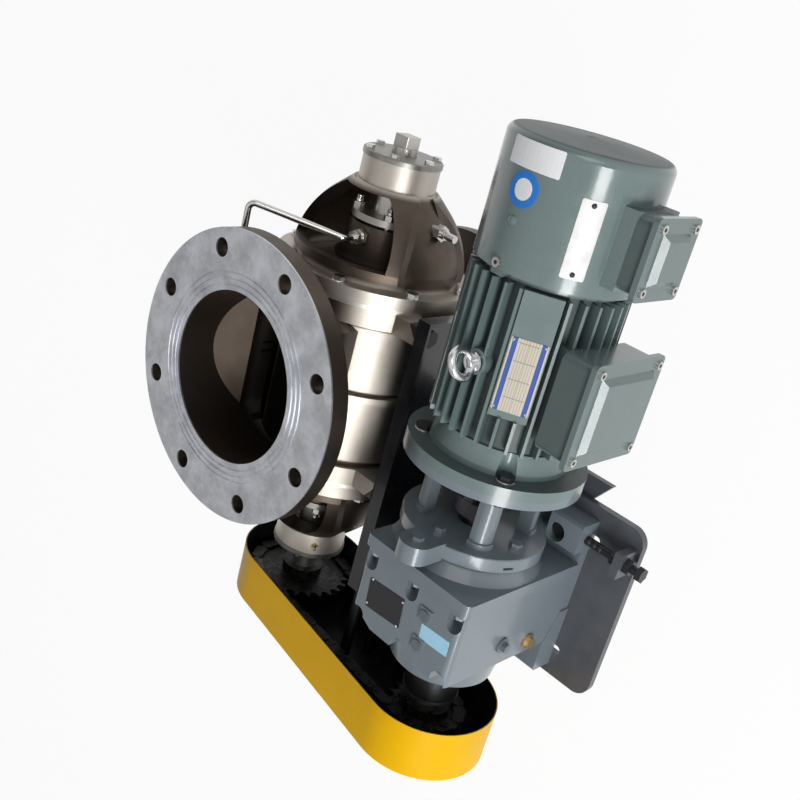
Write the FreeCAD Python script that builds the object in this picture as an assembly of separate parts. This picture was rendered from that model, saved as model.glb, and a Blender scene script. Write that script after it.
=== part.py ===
import FreeCAD, Part
import math
import os

# Rotary airlock valve, round ports, with a chain drive from a geared motor.
# Millimetres. The valve stands on its outlet flange.
# Origin: centre of the outlet flange face. +Z: up, through both ports.
# +X: along the rotor shaft, from the drive end to the free end.
# +Y: across, away from the geared motor.

V = FreeCAD.Vector

os.makedirs("parts", exist_ok=True)

# Ports and body
face_to_face = 390.0
port_bore_d = 200.0
port_flange_d = 340.0
port_flange_t = 24.0
port_bolt_pcd = 295.0
port_bolt_d = 22.0
port_bolt_count = 8
groove_first_d = 214.0
groove_step = 14.0
groove_width = 3.0
groove_depth = 1.2
groove_count = 3
neck_wall = 8.0
neck_flat = 74.0
neck_shoulder_high = 150.0
neck_shoulder_low = 110.0
drum_bore_d = 204.0
drum_wall = 10.0
drum_length = 224.0
body_flange_wall = 20.0
body_flange_t = 22.0
mid_rib_height = 8.0
mid_rib_width = 8.0
body_lug_width = 30.0
body_lug_spread = 96.0

# End covers
cover_flange_t = 20.0
cover_bolt_count = 8
cover_bolt_d = 8.0
bell_base_r = 100.0
bell_ledge = 2.0
bell_wall = 8.0
bell_straight_x = 38.0
bell_neck_x = 120.0
bearing_housing_length = 30.0
window_foot = 18.0
window_half_width = 79.0
window_top_half_width = 36.0
bead_width = 10.0
bead_height = 5.0
boss_r = 47.0
boss_top = 73.0
boss_ring_r = 55.0
cover_floor_t = 15.0

# Rotor and its shaft
vane_count = 8
vane_t = 6.0
rotor_hub_r = 32.0
tip_clearance = 0.3
spigot_length = 4.0
end_clearance = 0.4
shaft_body_r = 22.0
shaft_seal_r = 20.0
shaft_bearing_r = 17.5
shaft_stub_r = 15.0
shaft_drive_r = 16.0
stub_length = 22.0
stub_square = 22.0

# Bearings, packing and glands
bearing_outer_r = 36.0
bearing_width = 17.0
cap_t = 7.0
cap_rim = 1.5
cap_bolt_count = 6
cap_bolt_d = 6.0
packing_r = 30.0
packing_ring_t = 8.0
packing_ring_count = 3
gland_plate_r = 45.0
gland_plate_t = 8.0
gland_stud_d = 8.0
gland_stud_count = 4

# Fits
fit = 0.05
free_gap = 0.4
hole_gap = 0.15
thread_gap = 0.02

# Chain drive
chain_pitch = 15.875
roller_r = 5.08
inner_width = 9.65
plate_t = 2.0
plate_half_height = 7.2
driven_teeth = 25
drive_teeth = 17
chain_links = 58
chain_incline = 9.43
sprocket_t = 9.1
chain_x = -320.0
sprocket_hub_length = 34.0
driven_hub_r = 27.0
drive_hub_r = 30.0

# Chain guard
guard_r = 83.0
guard_wall = 2.0
guard_near_x = -287.0
guard_far_x = -353.0
stay_r = 7.0
stay_spread = 46.0
stay_inset = 6.0
stay_bolt_r = 3.0

# Bracket behind the valve and the plate under the gear unit
bracket_gap = 16.0
bracket_t = 18.0
bracket_web = 6.0
bracket_rim = 4.0
bracket_top = 62.0
bracket_foot = -96.0
bracket_x0 = -235.0
bracket_x1 = 122.0
shelf_x1 = 0.0
shelf_out = 222.0
base_x0 = -252.0
base_x1 = -24.0
base_t = 10.0
base_corner_r = 20.0
base_out = 424.0
shelf_t = 8.0
gusset_t = 8.0
slot_reach = 34.0
slot_back = 8.0
shelf_bolt_d = 10.0

# Gear unit
unit_height = 115.0
housing_width = 148.0
housing_x0 = -200.0
housing_x1 = -107.0
housing_top = 92.0
housing_wall = 8.0
housing_corner_r = 8.0
snout_r0 = 68.0
snout_r1 = 62.0
snout_x = -240.0
housing_end_corner = 18.0
front_plate_t = 14.0
front_plate_lip = 3.0
adaptor_disc_r = 82.0
adaptor_disc_t = 18.0
adaptor_disc_x = -78.0
adaptor_bolt_pcd = 120.0
lantern_half = 51.0
lantern_corner_r = 12.0
lantern_bore_r = 46.0
lantern_window = 66.0
motor_flange_r = 100.0
motor_joint_x = 21.0
adaptor_flange_t = 9.0
motor_flange_t = 12.0
motor_bolt_pcd = 165.0
motor_bolt_d = 10.0
foot_t = 15.0
foot_x0 = -240.0
foot_x1 = -40.0
foot_pad_length = 36.0
foot_pad_slope = 44.0
foot_pad_width = 44.0
foot_pad_height = 33.0
foot_bolt_d = 10.0
foot_bolt_inset = 29.0
foot_bolt_x = 22.0
seal_housing_r = 33.0
seal_housing_x = -282.0
collar_r = 34.0
collar_t = 4.0
tension_screw_r = 5.0
tension_depth = 14.0
lug_bolt_d = 12.0

output_seat_r = 26.0
middle_seat_r = 16.0
input_seat_r = 20.0
unit_bolt_d = 8.0
pocket_r = 9.0
pocket_depth = 16.0
pocket_wall = 5.0
front_pocket_length = 27.0
rear_pocket_length = 16.0

lifting_lug_r = 19.0
top_plug_side = 17.0

# Gears
first_module = 1.25
first_pinion_teeth = 12
first_gear_teeth = 72
second_module = 1.5
second_pinion_teeth = 12
second_gear_teeth = 58
gear_face = 16.0
pressure_angle = 25.0
addendum = 0.8
dedendum = 1.05
backlash = 0.12
input_shaft_r = 10.0
input_neck_r = 5.5
coupling_x = -50.0
middle_shaft_r = 7.5
output_shaft_r = 17.5
input_dy = 11.0

# Motor
frame_r = 70.0
fin_r = 84.0
fin_t = 3.2
fin_count = 32
frame_x0 = 59.0
frame_x1 = 229.0
frame_wall = 9.0
endshield_r = 78.0
cowl_r = 84.0
cowl_x0 = 235.0
cowl_x1 = 368.0
cowl_wall = 2.0
cowl_corner_r = 9.0
cowl_dome = 4.0
cowl_slot_count = 9
cowl_slot_length = 44.0
cowl_screw_in = 6.0
cowl_lug_t = 6.0
cowl_lug_width = 16.0
cowl_screw_count = 3
motor_shaft_r = 9.5
motor_core_r = 42.0
box_outer_y = 124.0
box_x0 = 75.0
box_x1 = 187.0
box_half_z = 61.0
box_lid_t = 12.0
fan_box_depth = 38.0
fan_box_x0 = 247.0
fan_box_x1 = 328.0
fan_box_half_z = 39.0
fan_blade_count = 8
cowl_screw_r = 2.5
fan_shaft_r = 5.0
fan_x = 318.0
motor_bearing_r = 20.0
motor_spigot_r = 55.0
eye_x = 141.0
plate_pad_angle = 33.0
plate_pad_width = 40.0
plate_pad_r = 80.0
plate_pad_x = 96.0

# Purge line
purge_angle = 10.0
purge_offset = 59.0
purge_tube_r = 4.0
purge_bend_r = 8.0

# Derived places
fan_box_outer_y = cowl_r + fan_box_depth
cowl_screw_x = cowl_x0 + cowl_screw_in
shaft_z = face_to_face / 2
drum_bore_r = drum_bore_d / 2
drum_r = drum_bore_r + drum_wall
flange_inner_r = max(drum_bore_r, bell_base_r + bell_ledge)
body_flange_r = flange_inner_r + body_flange_wall
end_x = drum_length / 2
cover_x = end_x + cover_flange_t
neck_x = end_x + bell_neck_x
housing_end_x = neck_x + bearing_housing_length
cover_bolt_r = flange_inner_r + body_flange_wall / 2


def cyl(radius, x0, x1, y=0.0, z=0.0):
    """Cylinder along X from x0 to x1, its axis at y, z above the shaft line."""
    return Part.makeCylinder(radius, x1 - x0, V(x0, y, z), V(1, 0, 0))


def ring(outer, inner, x0, x1, y=0.0, z=0.0):
    """Tube along X."""
    return cyl(outer, x0, x1, y, z).cut(cyl(inner, x0 - 1, x1 + 1, y, z))


def upright(radius, z0, z1, x=0.0, y=0.0):
    """Cylinder along Z."""
    return Part.makeCylinder(radius, z1 - z0, V(x, y, z0), V(0, 0, 1))


def across(radius, y0, y1, x=0.0, z=0.0):
    """Cylinder along Y."""
    return Part.makeCylinder(radius, y1 - y0, V(x, y0, z), V(0, 1, 0))


def block(x0, x1, y0, y1, z0, z1):
    """Box between two corners."""
    return Part.makeBox(x1 - x0, y1 - y0, z1 - z0, V(x0, y0, z0))


def prism(points, direction):
    """Straight prism over a closed outline of points and three-point arcs."""
    edges = []
    last = points[0]
    for item in points[1:] + [points[0]]:
        if isinstance(item, tuple):
            edges.append(Part.Arc(last, item[0], item[1]).toShape())
            last = item[1]
        elif last.sub(item).Length > 1e-6:
            edges.append(Part.makeLine(last, item))
            last = item
    return Part.Face(Part.Wire(edges)).extrude(direction)


def revolved(points, y=0.0, z=0.0):
    """Solid of revolution about the X line at y, z; points are (x, radius)."""
    edges = []
    last = points[0]
    for item in points[1:] + [points[0]]:
        if len(item) == 4:
            mid = V(item[0], y, z + item[1])
            end = V(item[2], y, z + item[3])
            edges.append(Part.Arc(V(last[0], y, z + last[1]), mid, end).toShape())
            last = (item[2], item[3])
        elif abs(last[0] - item[0]) + abs(last[1] - item[1]) > 1e-6:
            edges.append(Part.makeLine(V(last[0], y, z + last[1]), V(item[0], y, z + item[1])))
            last = item
    face = Part.Face(Part.Wire(edges))
    return face.revolve(V(0, y, z), V(1, 0, 0), 360)


def rounded_slab(x0, x1, y0, y1, z0, z1, radius):
    """Slab with rounded corners seen from above."""
    slab = block(x0, x1, y0, y1, z0, z1)
    upright_edges = [e for e in slab.Edges if abs(e.tangentAt(e.FirstParameter).z) > 0.9]
    return slab.makeFillet(radius, upright_edges)


def hexagon(across_flats, height, base, direction):
    """Hexagonal prism for a bolt head or nut."""
    radius = across_flats / math.sqrt(3)
    corners = []
    for k in range(6):
        a = math.radians(60 * k)
        corners.append(V(radius * math.cos(a), radius * math.sin(a), 0))
    shape = prism(corners, V(0, 0, height))
    turn = FreeCAD.Rotation(V(0, 0, 1), direction)
    shape.Placement = FreeCAD.Placement(base, turn)
    return shape


def screw(size, length, seat, outward, head_height=0.65):
    """Hexagon screw: its head stands on the seat, its shank goes in behind it."""
    head = hexagon(1.6 * size, head_height * size, seat, outward)
    shank = Part.makeCylinder(size / 2, length, seat, outward.negative())
    return head.fuse(shank).removeSplitter()


def nut(size, seat, outward):
    """Hexagon nut on a seat, bored to sit on its bolt."""
    body = hexagon(1.6 * size, 0.8 * size, seat, outward)
    bore = Part.makeCylinder(size / 2 + thread_gap, 3 * size, seat - outward * size, outward)
    return body.cut(bore)


def around(count, radius, start=0.0):
    """Places on a circle in the YZ plane, as (y, z, angle from +Z in degrees)."""
    places = []
    for k in range(count):
        angle = start + 360.0 * k / count
        a = math.radians(angle)
        places.append((-radius * math.sin(a), radius * math.cos(a), angle))
    return places


def mirrored(shape):
    """The same piece for the drive end."""
    return shape.mirror(V(0, 0, 0), V(1, 0, 0))


def lifted(shape):
    """Move a piece from the shaft line up to its height above the outlet flange."""
    copy = shape.copy()
    copy.translate(V(0, 0, shaft_z))
    return copy


def together(shapes):
    """Separate solids in one node."""
    return Part.makeCompound(shapes)


def both_ends(shapes):
    """The same pieces at the free end and, mirrored, at the drive end."""
    return together(shapes + [mirrored(shape) for shape in shapes])


# Chain geometry
def chain_span(centre):
    """Chord length of the loop round both sprockets for a centre distance."""
    big = chain_pitch / 2 / math.sin(math.pi / driven_teeth)
    small = chain_pitch / 2 / math.sin(math.pi / drive_teeth)
    lean = math.asin((big - small) / centre)
    straight = centre * math.cos(lean)
    wrap_big = (math.pi + 2 * lean) / (2 * math.pi / driven_teeth) * chain_pitch
    wrap_small = (math.pi - 2 * lean) / (2 * math.pi / drive_teeth) * chain_pitch
    return big, small, lean, straight, wrap_big, wrap_small


def centre_for_links():
    """Centre distance at which the loop closes on whole links."""
    low, high = 10 * chain_pitch, 60 * chain_pitch
    for _ in range(60):
        middle = (low + high) / 2
        parts = chain_span(middle)
        if 2 * parts[3] + parts[4] + parts[5] < chain_links * chain_pitch:
            low = middle
        else:
            high = middle
    return (low + high) / 2


centre_distance = centre_for_links()
output_y = -centre_distance * math.cos(math.radians(chain_incline))
output_z = centre_distance * math.sin(math.radians(chain_incline))


def roller_places():
    """Roller centres round the loop, with the angle where each wrap starts."""
    big, small, lean, straight, wrap_big, wrap_small = chain_span(centre_distance)
    along = math.atan2(output_z, output_y)
    start_big = along + math.pi / 2 - lean
    start_small = along - math.pi / 2 + lean
    places = []
    for k in range(chain_links):
        s = k * chain_pitch
        if s <= wrap_big:
            a = start_big + s / chain_pitch * 2 * math.pi / driven_teeth
            places.append((big * math.cos(a), big * math.sin(a)))
            continue
        s -= wrap_big
        if s <= straight:
            a = start_small
            foot = (big * math.cos(a), big * math.sin(a))
            tip = (output_y + small * math.cos(a), output_z + small * math.sin(a))
            t = s / straight
            places.append((foot[0] + t * (tip[0] - foot[0]), foot[1] + t * (tip[1] - foot[1])))
            continue
        s -= straight
        if s <= wrap_small:
            a = start_small + s / chain_pitch * 2 * math.pi / drive_teeth
            places.append((output_y + small * math.cos(a), output_z + small * math.sin(a)))
            continue
        s -= wrap_small
        a = start_big
        foot = (output_y + small * math.cos(a), output_z + small * math.sin(a))
        tip = (big * math.cos(a), big * math.sin(a))
        t = s / straight
        places.append((foot[0] + t * (tip[0] - foot[0]), foot[1] + t * (tip[1] - foot[1])))
    return places


def sprocket(teeth, first, hub_r, bore_r, y, z, hub_x0):
    """Chain wheel with roller seats; first is the angle of one seat."""
    pitch_r = chain_pitch / 2 / math.sin(math.pi / teeth)
    seat_r = roller_r + hole_gap
    tip_r = pitch_r + 3.2
    step = 2 * math.pi / teeth
    low_x = chain_x - sprocket_t / 2
    outline = []
    for k in range(teeth):
        a = first + k * step
        out = V(0, math.cos(a), math.sin(a))
        side = V(0, -math.sin(a), math.cos(a))
        centre = V(low_x, y, z) + out * pitch_r
        before = centre - side * seat_r * 0.94 - out * seat_r * 0.34
        bottom = centre - out * seat_r
        after = centre + side * seat_r * 0.94 - out * seat_r * 0.34
        tips = []
        for b in (a - step / 2 + 0.12 * step, a + step / 2 - 0.12 * step):
            tips.append(V(low_x, y + tip_r * math.cos(b), z + tip_r * math.sin(b)))
        outline += [tips[0], before, (bottom, after), tips[1]]
    wheel = prism(outline, V(sprocket_t, 0, 0))
    hub = cyl(hub_r, hub_x0, hub_x0 + sprocket_hub_length, y, z)
    bore = cyl(bore_r, hub_x0 - 1, hub_x0 + sprocket_hub_length + 1, y, z)
    return wheel.fuse(hub).cut(bore).removeSplitter()


def link_plate(a, b, x0):
    """Flat side plate between two rollers."""
    start = V(x0, a[0], a[1])
    end = V(x0, b[0], b[1])
    run = (end - start).normalize()
    up = V(1, 0, 0).cross(run)
    h = plate_half_height
    outline = []
    for along, height in ((-h, 0.42 * h), (-0.5 * h, h), (0.5 * h, h), (h, 0.42 * h)):
        base = start if along < 0 else end
        outline.append(base + run * along + up * height)
    for along, height in ((h, 0.42 * h), (0.5 * h, h), (-0.5 * h, h), (-h, 0.42 * h)):
        base = start if along < 0 else end
        outline.append(base + run * along - up * height)
    return prism(outline, V(plate_t, 0, 0))


def make_chain():
    """Roller chain: inner links with their rollers, outer plates over them."""
    places = roller_places()
    half = inner_width / 2
    gap = 0.15
    links = []
    for k in range(chain_links):
        a = places[k]
        b = places[(k + 1) % chain_links]
        if k % 2 == 0:
            link = link_plate(a, b, chain_x - half - plate_t)
            pieces = [link_plate(a, b, chain_x + half)]
            for p in (a, b):
                pieces.append(cyl(roller_r, chain_x - half, chain_x + half, p[0], p[1]))
            links.append(link.multiFuse(pieces))
        else:
            links.append(link_plate(a, b, chain_x - half - 2 * plate_t - gap))
            links.append(link_plate(a, b, chain_x + half + plate_t + gap))
    return together(links)


# Valve body
def waisted(wall, reach):
    """Limits of both necks: flat sided at the drum, full width above a shoulder."""
    narrow = neck_flat - wall
    low = neck_shoulder_low + wall / 2
    high = neck_shoulder_high + wall / 2
    wide = port_bore_d / 2 + neck_wall + 2
    side = [(narrow, -low), (narrow, low), (wide, high), (reach, high), (reach, shaft_z + 2)]
    other = [(-y, z) for y, z in reversed(side)]
    lower = [(reach, -shaft_z - 2), (reach, -high), (wide, -high)]
    outline = [(-y, z) for y, z in reversed(lower)] + lower + side + other
    return prism([V(-reach, y, z) for y, z in outline], V(2 * reach, 0, 0))


def make_body():
    """Cast body: drum, end flanges, necks and port flanges in one piece."""
    body = cyl(drum_r, -end_x, end_x)
    for side in (-1, 1):
        x0 = min(side * end_x, side * (end_x - body_flange_t))
        body = body.fuse(cyl(body_flange_r, x0, x0 + body_flange_t))
    rib_r = drum_r + mid_rib_height
    body = body.fuse(cyl(rib_r, -mid_rib_width / 2, mid_rib_width / 2))
    port_r = port_bore_d / 2
    neck_r = port_r + neck_wall
    neck_foot_r = min(neck_r + 2, end_x - 2)
    neck_limits = waisted(0, port_flange_d / 2)
    for side in (-1, 1):
        direction = V(0, 0, side)
        neck_h = shaft_z - port_flange_t
        neck = Part.makeCone(neck_foot_r, neck_r, neck_h, V(0, 0, 0), direction)
        flange = Part.makeCylinder(port_flange_d / 2, port_flange_t, V(0, 0, side * neck_h), direction)
        root = Part.makeCone(neck_r + 7, neck_r, 9, V(0, 0, side * neck_h), direction.negative())
        body = body.fuse(neck.common(neck_limits)).fuse(flange).fuse(root)
    lug_foot = -(body_flange_r + bracket_gap)
    for side in (-1, 1):
        x0 = min(side * end_x, side * (end_x - body_flange_t))
        for height in (-body_lug_spread / 2, body_lug_spread / 2):
            lug = block(
                x0,
                x0 + body_flange_t,
                lug_foot,
                -drum_bore_r + drum_wall,
                height - body_lug_width / 2,
                height + body_lug_width / 2,
            )
            body = body.fuse(lug)
    body = body.cut(cyl(drum_bore_r, -end_x - 1, end_x + 1))
    throat = upright(port_r, -shaft_z - 1, shaft_z + 1)
    body = body.cut(throat.common(waisted(neck_wall, port_flange_d / 2)))
    holes = []
    for k in range(port_bolt_count):
        a = math.radians(360.0 / port_bolt_count * (k + 0.5))
        x = port_bolt_pcd / 2 * math.cos(a)
        y = port_bolt_pcd / 2 * math.sin(a)
        for side in (-1, 1):
            z0 = min(side * shaft_z, side * (shaft_z - port_flange_t)) - 1
            holes.append(upright(port_bolt_d / 2, z0, z0 + port_flange_t + 2, x, y))
    for k in range(groove_count):
        r = groove_first_d / 2 + k * groove_step / 2
        groove = upright(r + groove_width / 2, shaft_z - groove_depth, shaft_z + 1)
        holes.append(groove.cut(upright(r - groove_width / 2, shaft_z - 5, shaft_z + 2)))
    for y, z, _ in around(cover_bolt_count, cover_bolt_r, 22.5):
        hole_r = cover_bolt_d / 2 + hole_gap
        holes.append(cyl(hole_r, end_x - body_flange_t + 2, end_x + 1, y, z))
        holes.append(cyl(hole_r, -end_x - 1, -end_x + body_flange_t - 2, y, z))
    for side in (-1, 1):
        for height in (-body_lug_spread / 2, body_lug_spread / 2):
            x = side * (end_x - body_flange_t / 2)
            holes.append(across(lug_bolt_d / 2 + hole_gap, lug_foot - 1, lug_foot + 24, x, height))
    return body.cut(together(holes)).removeSplitter()


def window_outline(grow, z0):
    """Arched window seen from above, wide at the flange and narrow at the bearing."""
    x0 = end_x + window_foot + cover_flange_t - grow
    x1 = neck_x - 6 + grow
    wide = window_half_width + grow
    narrow = window_top_half_width + grow
    middle_x = x0 + 0.55 * (x1 - x0)
    middle = narrow + 0.73 * (wide - narrow)
    return [
        V(x0, -wide, z0),
        V(x0, wide, z0),
        (V(middle_x, middle, z0), V(x1, narrow, z0)),
        V(x1, -narrow, z0),
        (V(middle_x, -middle, z0), V(x0, -wide, z0)),
    ]


def bell_profile(offset):
    """Outer or inner line of the bell wall, from the flange to the bearing."""
    x1 = end_x + bell_straight_x
    x2 = neck_x - 20
    r2 = boss_r + 21
    inset = offset * 0.8
    return [
        (x1, bell_base_r - offset),
        (x1 + 0.55 * (x2 - x1), bell_base_r - 11.5 - offset, x2 - inset, r2 - offset),
        (neck_x - inset, boss_r - min(offset, 3)),
    ]


def make_cover():
    """Bell-shaped end cover with two arched windows, for the free end."""
    outer = bell_profile(0)
    inner = bell_profile(bell_wall)
    hole_r = packing_r
    shell = revolved(
        [(end_x, bell_base_r - bell_wall), (end_x, body_flange_r), (cover_x, body_flange_r)]
        + [(cover_x, bell_base_r)]
        + outer
        + [(housing_end_x, boss_r), (housing_end_x, bearing_outer_r + fit)]
        + [(housing_end_x - bearing_width - 5, bearing_outer_r + fit)]
        + [(housing_end_x - bearing_width - 5, hole_r), (neck_x - bell_wall, hole_r)]
        + [inner[2], inner[1][2:], (inner[1][0], inner[1][1], inner[0][0], inner[0][1])]
    )
    height = body_flange_r
    cut = prism(window_outline(0, 12), V(0, 0, height))
    rim = prism(window_outline(bead_width, 12), V(0, 0, height)).cut(cut)
    proud = [(p[0], p[1] + bead_height) if len(p) == 2 else
             (p[0], p[1] + bead_height, p[2], p[3] + bead_height) for p in outer]
    thick = revolved(
        [(cover_x + 1, bell_base_r - bell_wall), (cover_x + 1, bell_base_r + bead_height)]
        + proud
        + [inner[2], inner[1][2:], (inner[1][0], inner[1][1], inner[0][0], inner[0][1])]
    )
    bead = thick.common(rim)
    under = FreeCAD.Rotation(V(1, 0, 0), 180)
    cut_low = cut.copy()
    cut_low.Placement = FreeCAD.Placement(V(0, 0, 0), under)
    bead_low = bead.copy()
    bead_low.Placement = FreeCAD.Placement(V(0, 0, 0), under)
    shell = shell.fuse(bead).fuse(bead_low).cut(cut).cut(cut_low)
    floor_x = end_x + cover_floor_t
    boss = revolved(
        [
            (end_x - spigot_length, shaft_body_r + free_gap),
            (end_x - spigot_length, drum_bore_r - fit),
            (end_x, drum_bore_r - fit),
            (end_x, bell_base_r - bell_wall),
            (floor_x, bell_base_r - bell_wall),
            (floor_x, boss_r + 4),
            (floor_x + 7, boss_r + 4),
            (floor_x + 7, boss_ring_r),
            (floor_x + 14, boss_ring_r),
            (floor_x + 14, boss_r),
            (end_x + boss_top, boss_r),
            (end_x + boss_top, packing_r + fit),
            (end_x + boss_top - packing_ring_t * packing_ring_count - 10, packing_r + fit),
            (end_x + boss_top - packing_ring_t * packing_ring_count - 10, shaft_seal_r + free_gap),
            (end_x + 6, shaft_seal_r + free_gap),
            (end_x + 6, shaft_body_r + free_gap),
        ]
    )
    cover = shell.fuse(boss)
    holes = []
    for y, z, _ in around(cover_bolt_count, cover_bolt_r, 22.5):
        holes.append(cyl(cover_bolt_d / 2 + hole_gap, end_x - 1, cover_x + 1, y, z))
    for y, z, _ in around(gland_stud_count, gland_pcd_r(), 45):
        holes.append(cyl(gland_stud_d / 2 + fit, end_x + boss_top - 20, end_x + boss_top + 1, y, z))
    for y, z, _ in around(cap_bolt_count, cap_pcd_r(), 30):
        holes.append(cyl(cap_bolt_d / 2 + fit, housing_end_x - 14, housing_end_x + 1, y, z))
    return cover.cut(together(holes)).removeSplitter()


def gland_pcd_r():
    """Radius of the gland stud circle, midway in the boss wall."""
    return (boss_r + packing_r) / 2


def cap_pcd_r():
    """Radius of the bearing cap screw circle, midway in the housing wall."""
    return (boss_r + bearing_outer_r) / 2


def make_cap(hole_r):
    """Bearing cap with a spigot that holds the bearing's outer ring."""
    cap = revolved(
        [
            (housing_end_x, bearing_outer_r - 0.1),
            (housing_end_x - 5 + fit, bearing_outer_r - 0.1),
            (housing_end_x - 5 + fit, bearing_outer_r - 6),
            (housing_end_x + 1, bearing_outer_r - 6),
            (housing_end_x + 1, hole_r),
            (housing_end_x + cap_t, hole_r),
            (housing_end_x + cap_t, boss_r + cap_rim - 1.5),
            (housing_end_x + cap_t - 1.5, boss_r + cap_rim),
            (housing_end_x, boss_r + cap_rim),
        ]
    )
    holes = []
    for y, z, _ in around(cap_bolt_count, cap_pcd_r(), 30):
        holes.append(cyl(cap_bolt_d / 2 + hole_gap, housing_end_x - 1, housing_end_x + cap_t + 1, y, z))
    return cap.cut(together(holes))


def make_bearing(inner_r, outer_r, x0, width, y=0.0, z=0.0):
    """Ball bearing as one ring with its two races marked by face grooves."""
    middle = (inner_r + outer_r) / 2
    wide = (outer_r - inner_r) / 6
    return revolved(
        [
            (x0, inner_r),
            (x0, middle - wide),
            (x0 + 1.5, middle - wide),
            (x0 + 1.5, middle + wide),
            (x0, middle + wide),
            (x0, outer_r),
            (x0 + width, outer_r),
            (x0 + width, middle + wide),
            (x0 + width - 1.5, middle + wide),
            (x0 + width - 1.5, middle - wide),
            (x0 + width, middle - wide),
            (x0 + width, inner_r),
        ],
        y,
        z,
    )


def make_rotor():
    """Rotor wheel: hub and radial vanes, trimmed to the drum bore."""
    reach = end_x - spigot_length - end_clearance
    tip = drum_bore_r - tip_clearance
    wheel = cyl(rotor_hub_r, -reach, reach)
    vanes = []
    for k in range(vane_count):
        vane = block(-reach, reach, -vane_t / 2, vane_t / 2, rotor_hub_r - 4, tip + 2)
        vane.rotate(V(0, 0, 0), V(1, 0, 0), 360.0 / vane_count * (k + 0.5))
        vanes.append(vane)
    wheel = wheel.multiFuse(vanes)
    wheel = wheel.common(cyl(tip, -reach - 1, reach + 1))
    return wheel.cut(cyl(shaft_body_r + fit, -reach - 1, reach + 1)).removeSplitter()


def make_rotor_shaft():
    """Stepped shaft, with a square end at the free side and a chain wheel seat."""
    step_x = end_x + 3
    bearing_step = housing_end_x - bearing_width - 5
    tail = chain_x - sprocket_hub_length / 2 - 3
    shaft = revolved(
        [
            (tail, 0),
            (tail, shaft_drive_r),
            (-housing_end_x - cap_t - 3, shaft_drive_r),
            (-housing_end_x - cap_t - 3, shaft_bearing_r),
            (-bearing_step, shaft_bearing_r),
            (-bearing_step, shaft_seal_r),
            (-step_x, shaft_seal_r),
            (-step_x, shaft_body_r),
            (step_x, shaft_body_r),
            (step_x, shaft_seal_r),
            (bearing_step, shaft_seal_r),
            (bearing_step, shaft_bearing_r),
            (housing_end_x, shaft_bearing_r),
            (housing_end_x, shaft_stub_r),
            (housing_end_x + cap_t + stub_length, shaft_stub_r),
            (housing_end_x + cap_t + stub_length, 0),
        ]
    )
    end = housing_end_x + cap_t + stub_length
    half = stub_square / 2
    outside = block(end - 14, end + 1, -40, 40, -40, 40)
    return shaft.cut(outside.cut(block(end - 15, end + 2, -half, half, -half, half)))


def packing_set():
    """Square packing rings in one stuffing box."""
    x0 = end_x + boss_top - packing_ring_t * packing_ring_count - 10
    rings = []
    for k in range(packing_ring_count):
        start = x0 + k * packing_ring_t
        rings.append(ring(packing_r, shaft_seal_r + fit, start, start + packing_ring_t))
    return rings


def gland_follower():
    """Gland plate with its nose on the packing."""
    plate_x = end_x + boss_top + 3
    plate = revolved(
        [
            (end_x + boss_top - 10, shaft_seal_r + free_gap),
            (end_x + boss_top - 10, packing_r - 0.1),
            (plate_x, packing_r - 0.1),
            (plate_x, gland_plate_r),
            (plate_x + gland_plate_t, gland_plate_r),
            (plate_x + gland_plate_t, shaft_seal_r + free_gap),
        ]
    )
    holes = []
    for y, z, _ in around(gland_stud_count, gland_pcd_r(), 45):
        holes.append(cyl(gland_stud_d / 2 + hole_gap, plate_x - 1, plate_x + gland_plate_t + 1, y, z))
    return plate.cut(together(holes))


def gland_studs():
    """Studs in the boss, each with its nut on the gland plate."""
    face = end_x + boss_top + 3 + gland_plate_t
    studs = []
    for y, z, _ in around(gland_stud_count, gland_pcd_r(), 45):
        stud = cyl(gland_stud_d / 2, end_x + boss_top - 20, face + 14, y, z)
        nut = hexagon(1.6 * gland_stud_d, 0.8 * gland_stud_d, V(face, y, z), V(1, 0, 0))
        studs.append(stud.fuse(nut).removeSplitter())
    return studs


def cover_screws():
    """Hexagon screws through the cover flange into the body."""
    screws = []
    for y, z, _ in around(cover_bolt_count, cover_bolt_r, 22.5):
        length = cover_flange_t + body_flange_t - 4
        screws.append(screw(cover_bolt_d, length, V(cover_x, y, z), V(1, 0, 0)))
    return screws


def cap_screws():
    """Hexagon screws of one bearing cap."""
    screws = []
    for y, z, _ in around(cap_bolt_count, cap_pcd_r(), 30):
        seat = V(housing_end_x + cap_t, y, z)
        screws.append(screw(cap_bolt_d, cap_t + 12, seat, V(1, 0, 0)))
    return screws


def run_of_tube(points, radius, bend_r):
    """Bent tube: straight runs joined by tangent arcs."""
    edges = []
    last = points[0]
    for k in range(1, len(points) - 1):
        into = (points[k] - points[k - 1]).normalize()
        out = (points[k + 1] - points[k]).normalize()
        turn = into.getAngle(out)
        cut = bend_r * math.tan(turn / 2)
        start = points[k] - into * cut
        end = points[k] + out * cut
        inward = (out - into).normalize()
        middle = points[k] + inward * (bend_r / math.cos(turn / 2) - bend_r)
        edges.append(Part.makeLine(last, start))
        edges.append(Part.Arc(start, middle, end).toShape())
        last = end
    edges.append(Part.makeLine(last, points[-1]))
    path = Part.Wire(edges)
    start_dir = (points[1] - points[0]).normalize()
    section = Part.Wire(Part.makeCircle(radius, points[0], start_dir))
    return path.makePipeShell([section], True, False)


def purge_points():
    """Route of the purge line from the neck to the gland boss."""
    a = math.radians(purge_angle)
    x = end_x + purge_offset
    out = V(0, -math.sin(a), math.cos(a))
    fitting = V(x, 0, 0) + out * (boss_r + 12)
    elbow = V(x, 0, 0) + out * (boss_r + 34)
    corner = V(end_x + 72, 76, shaft_z - 43)
    neck = V(end_x - 22, 76, shaft_z - 43)
    return out, fitting, elbow, corner, neck


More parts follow.
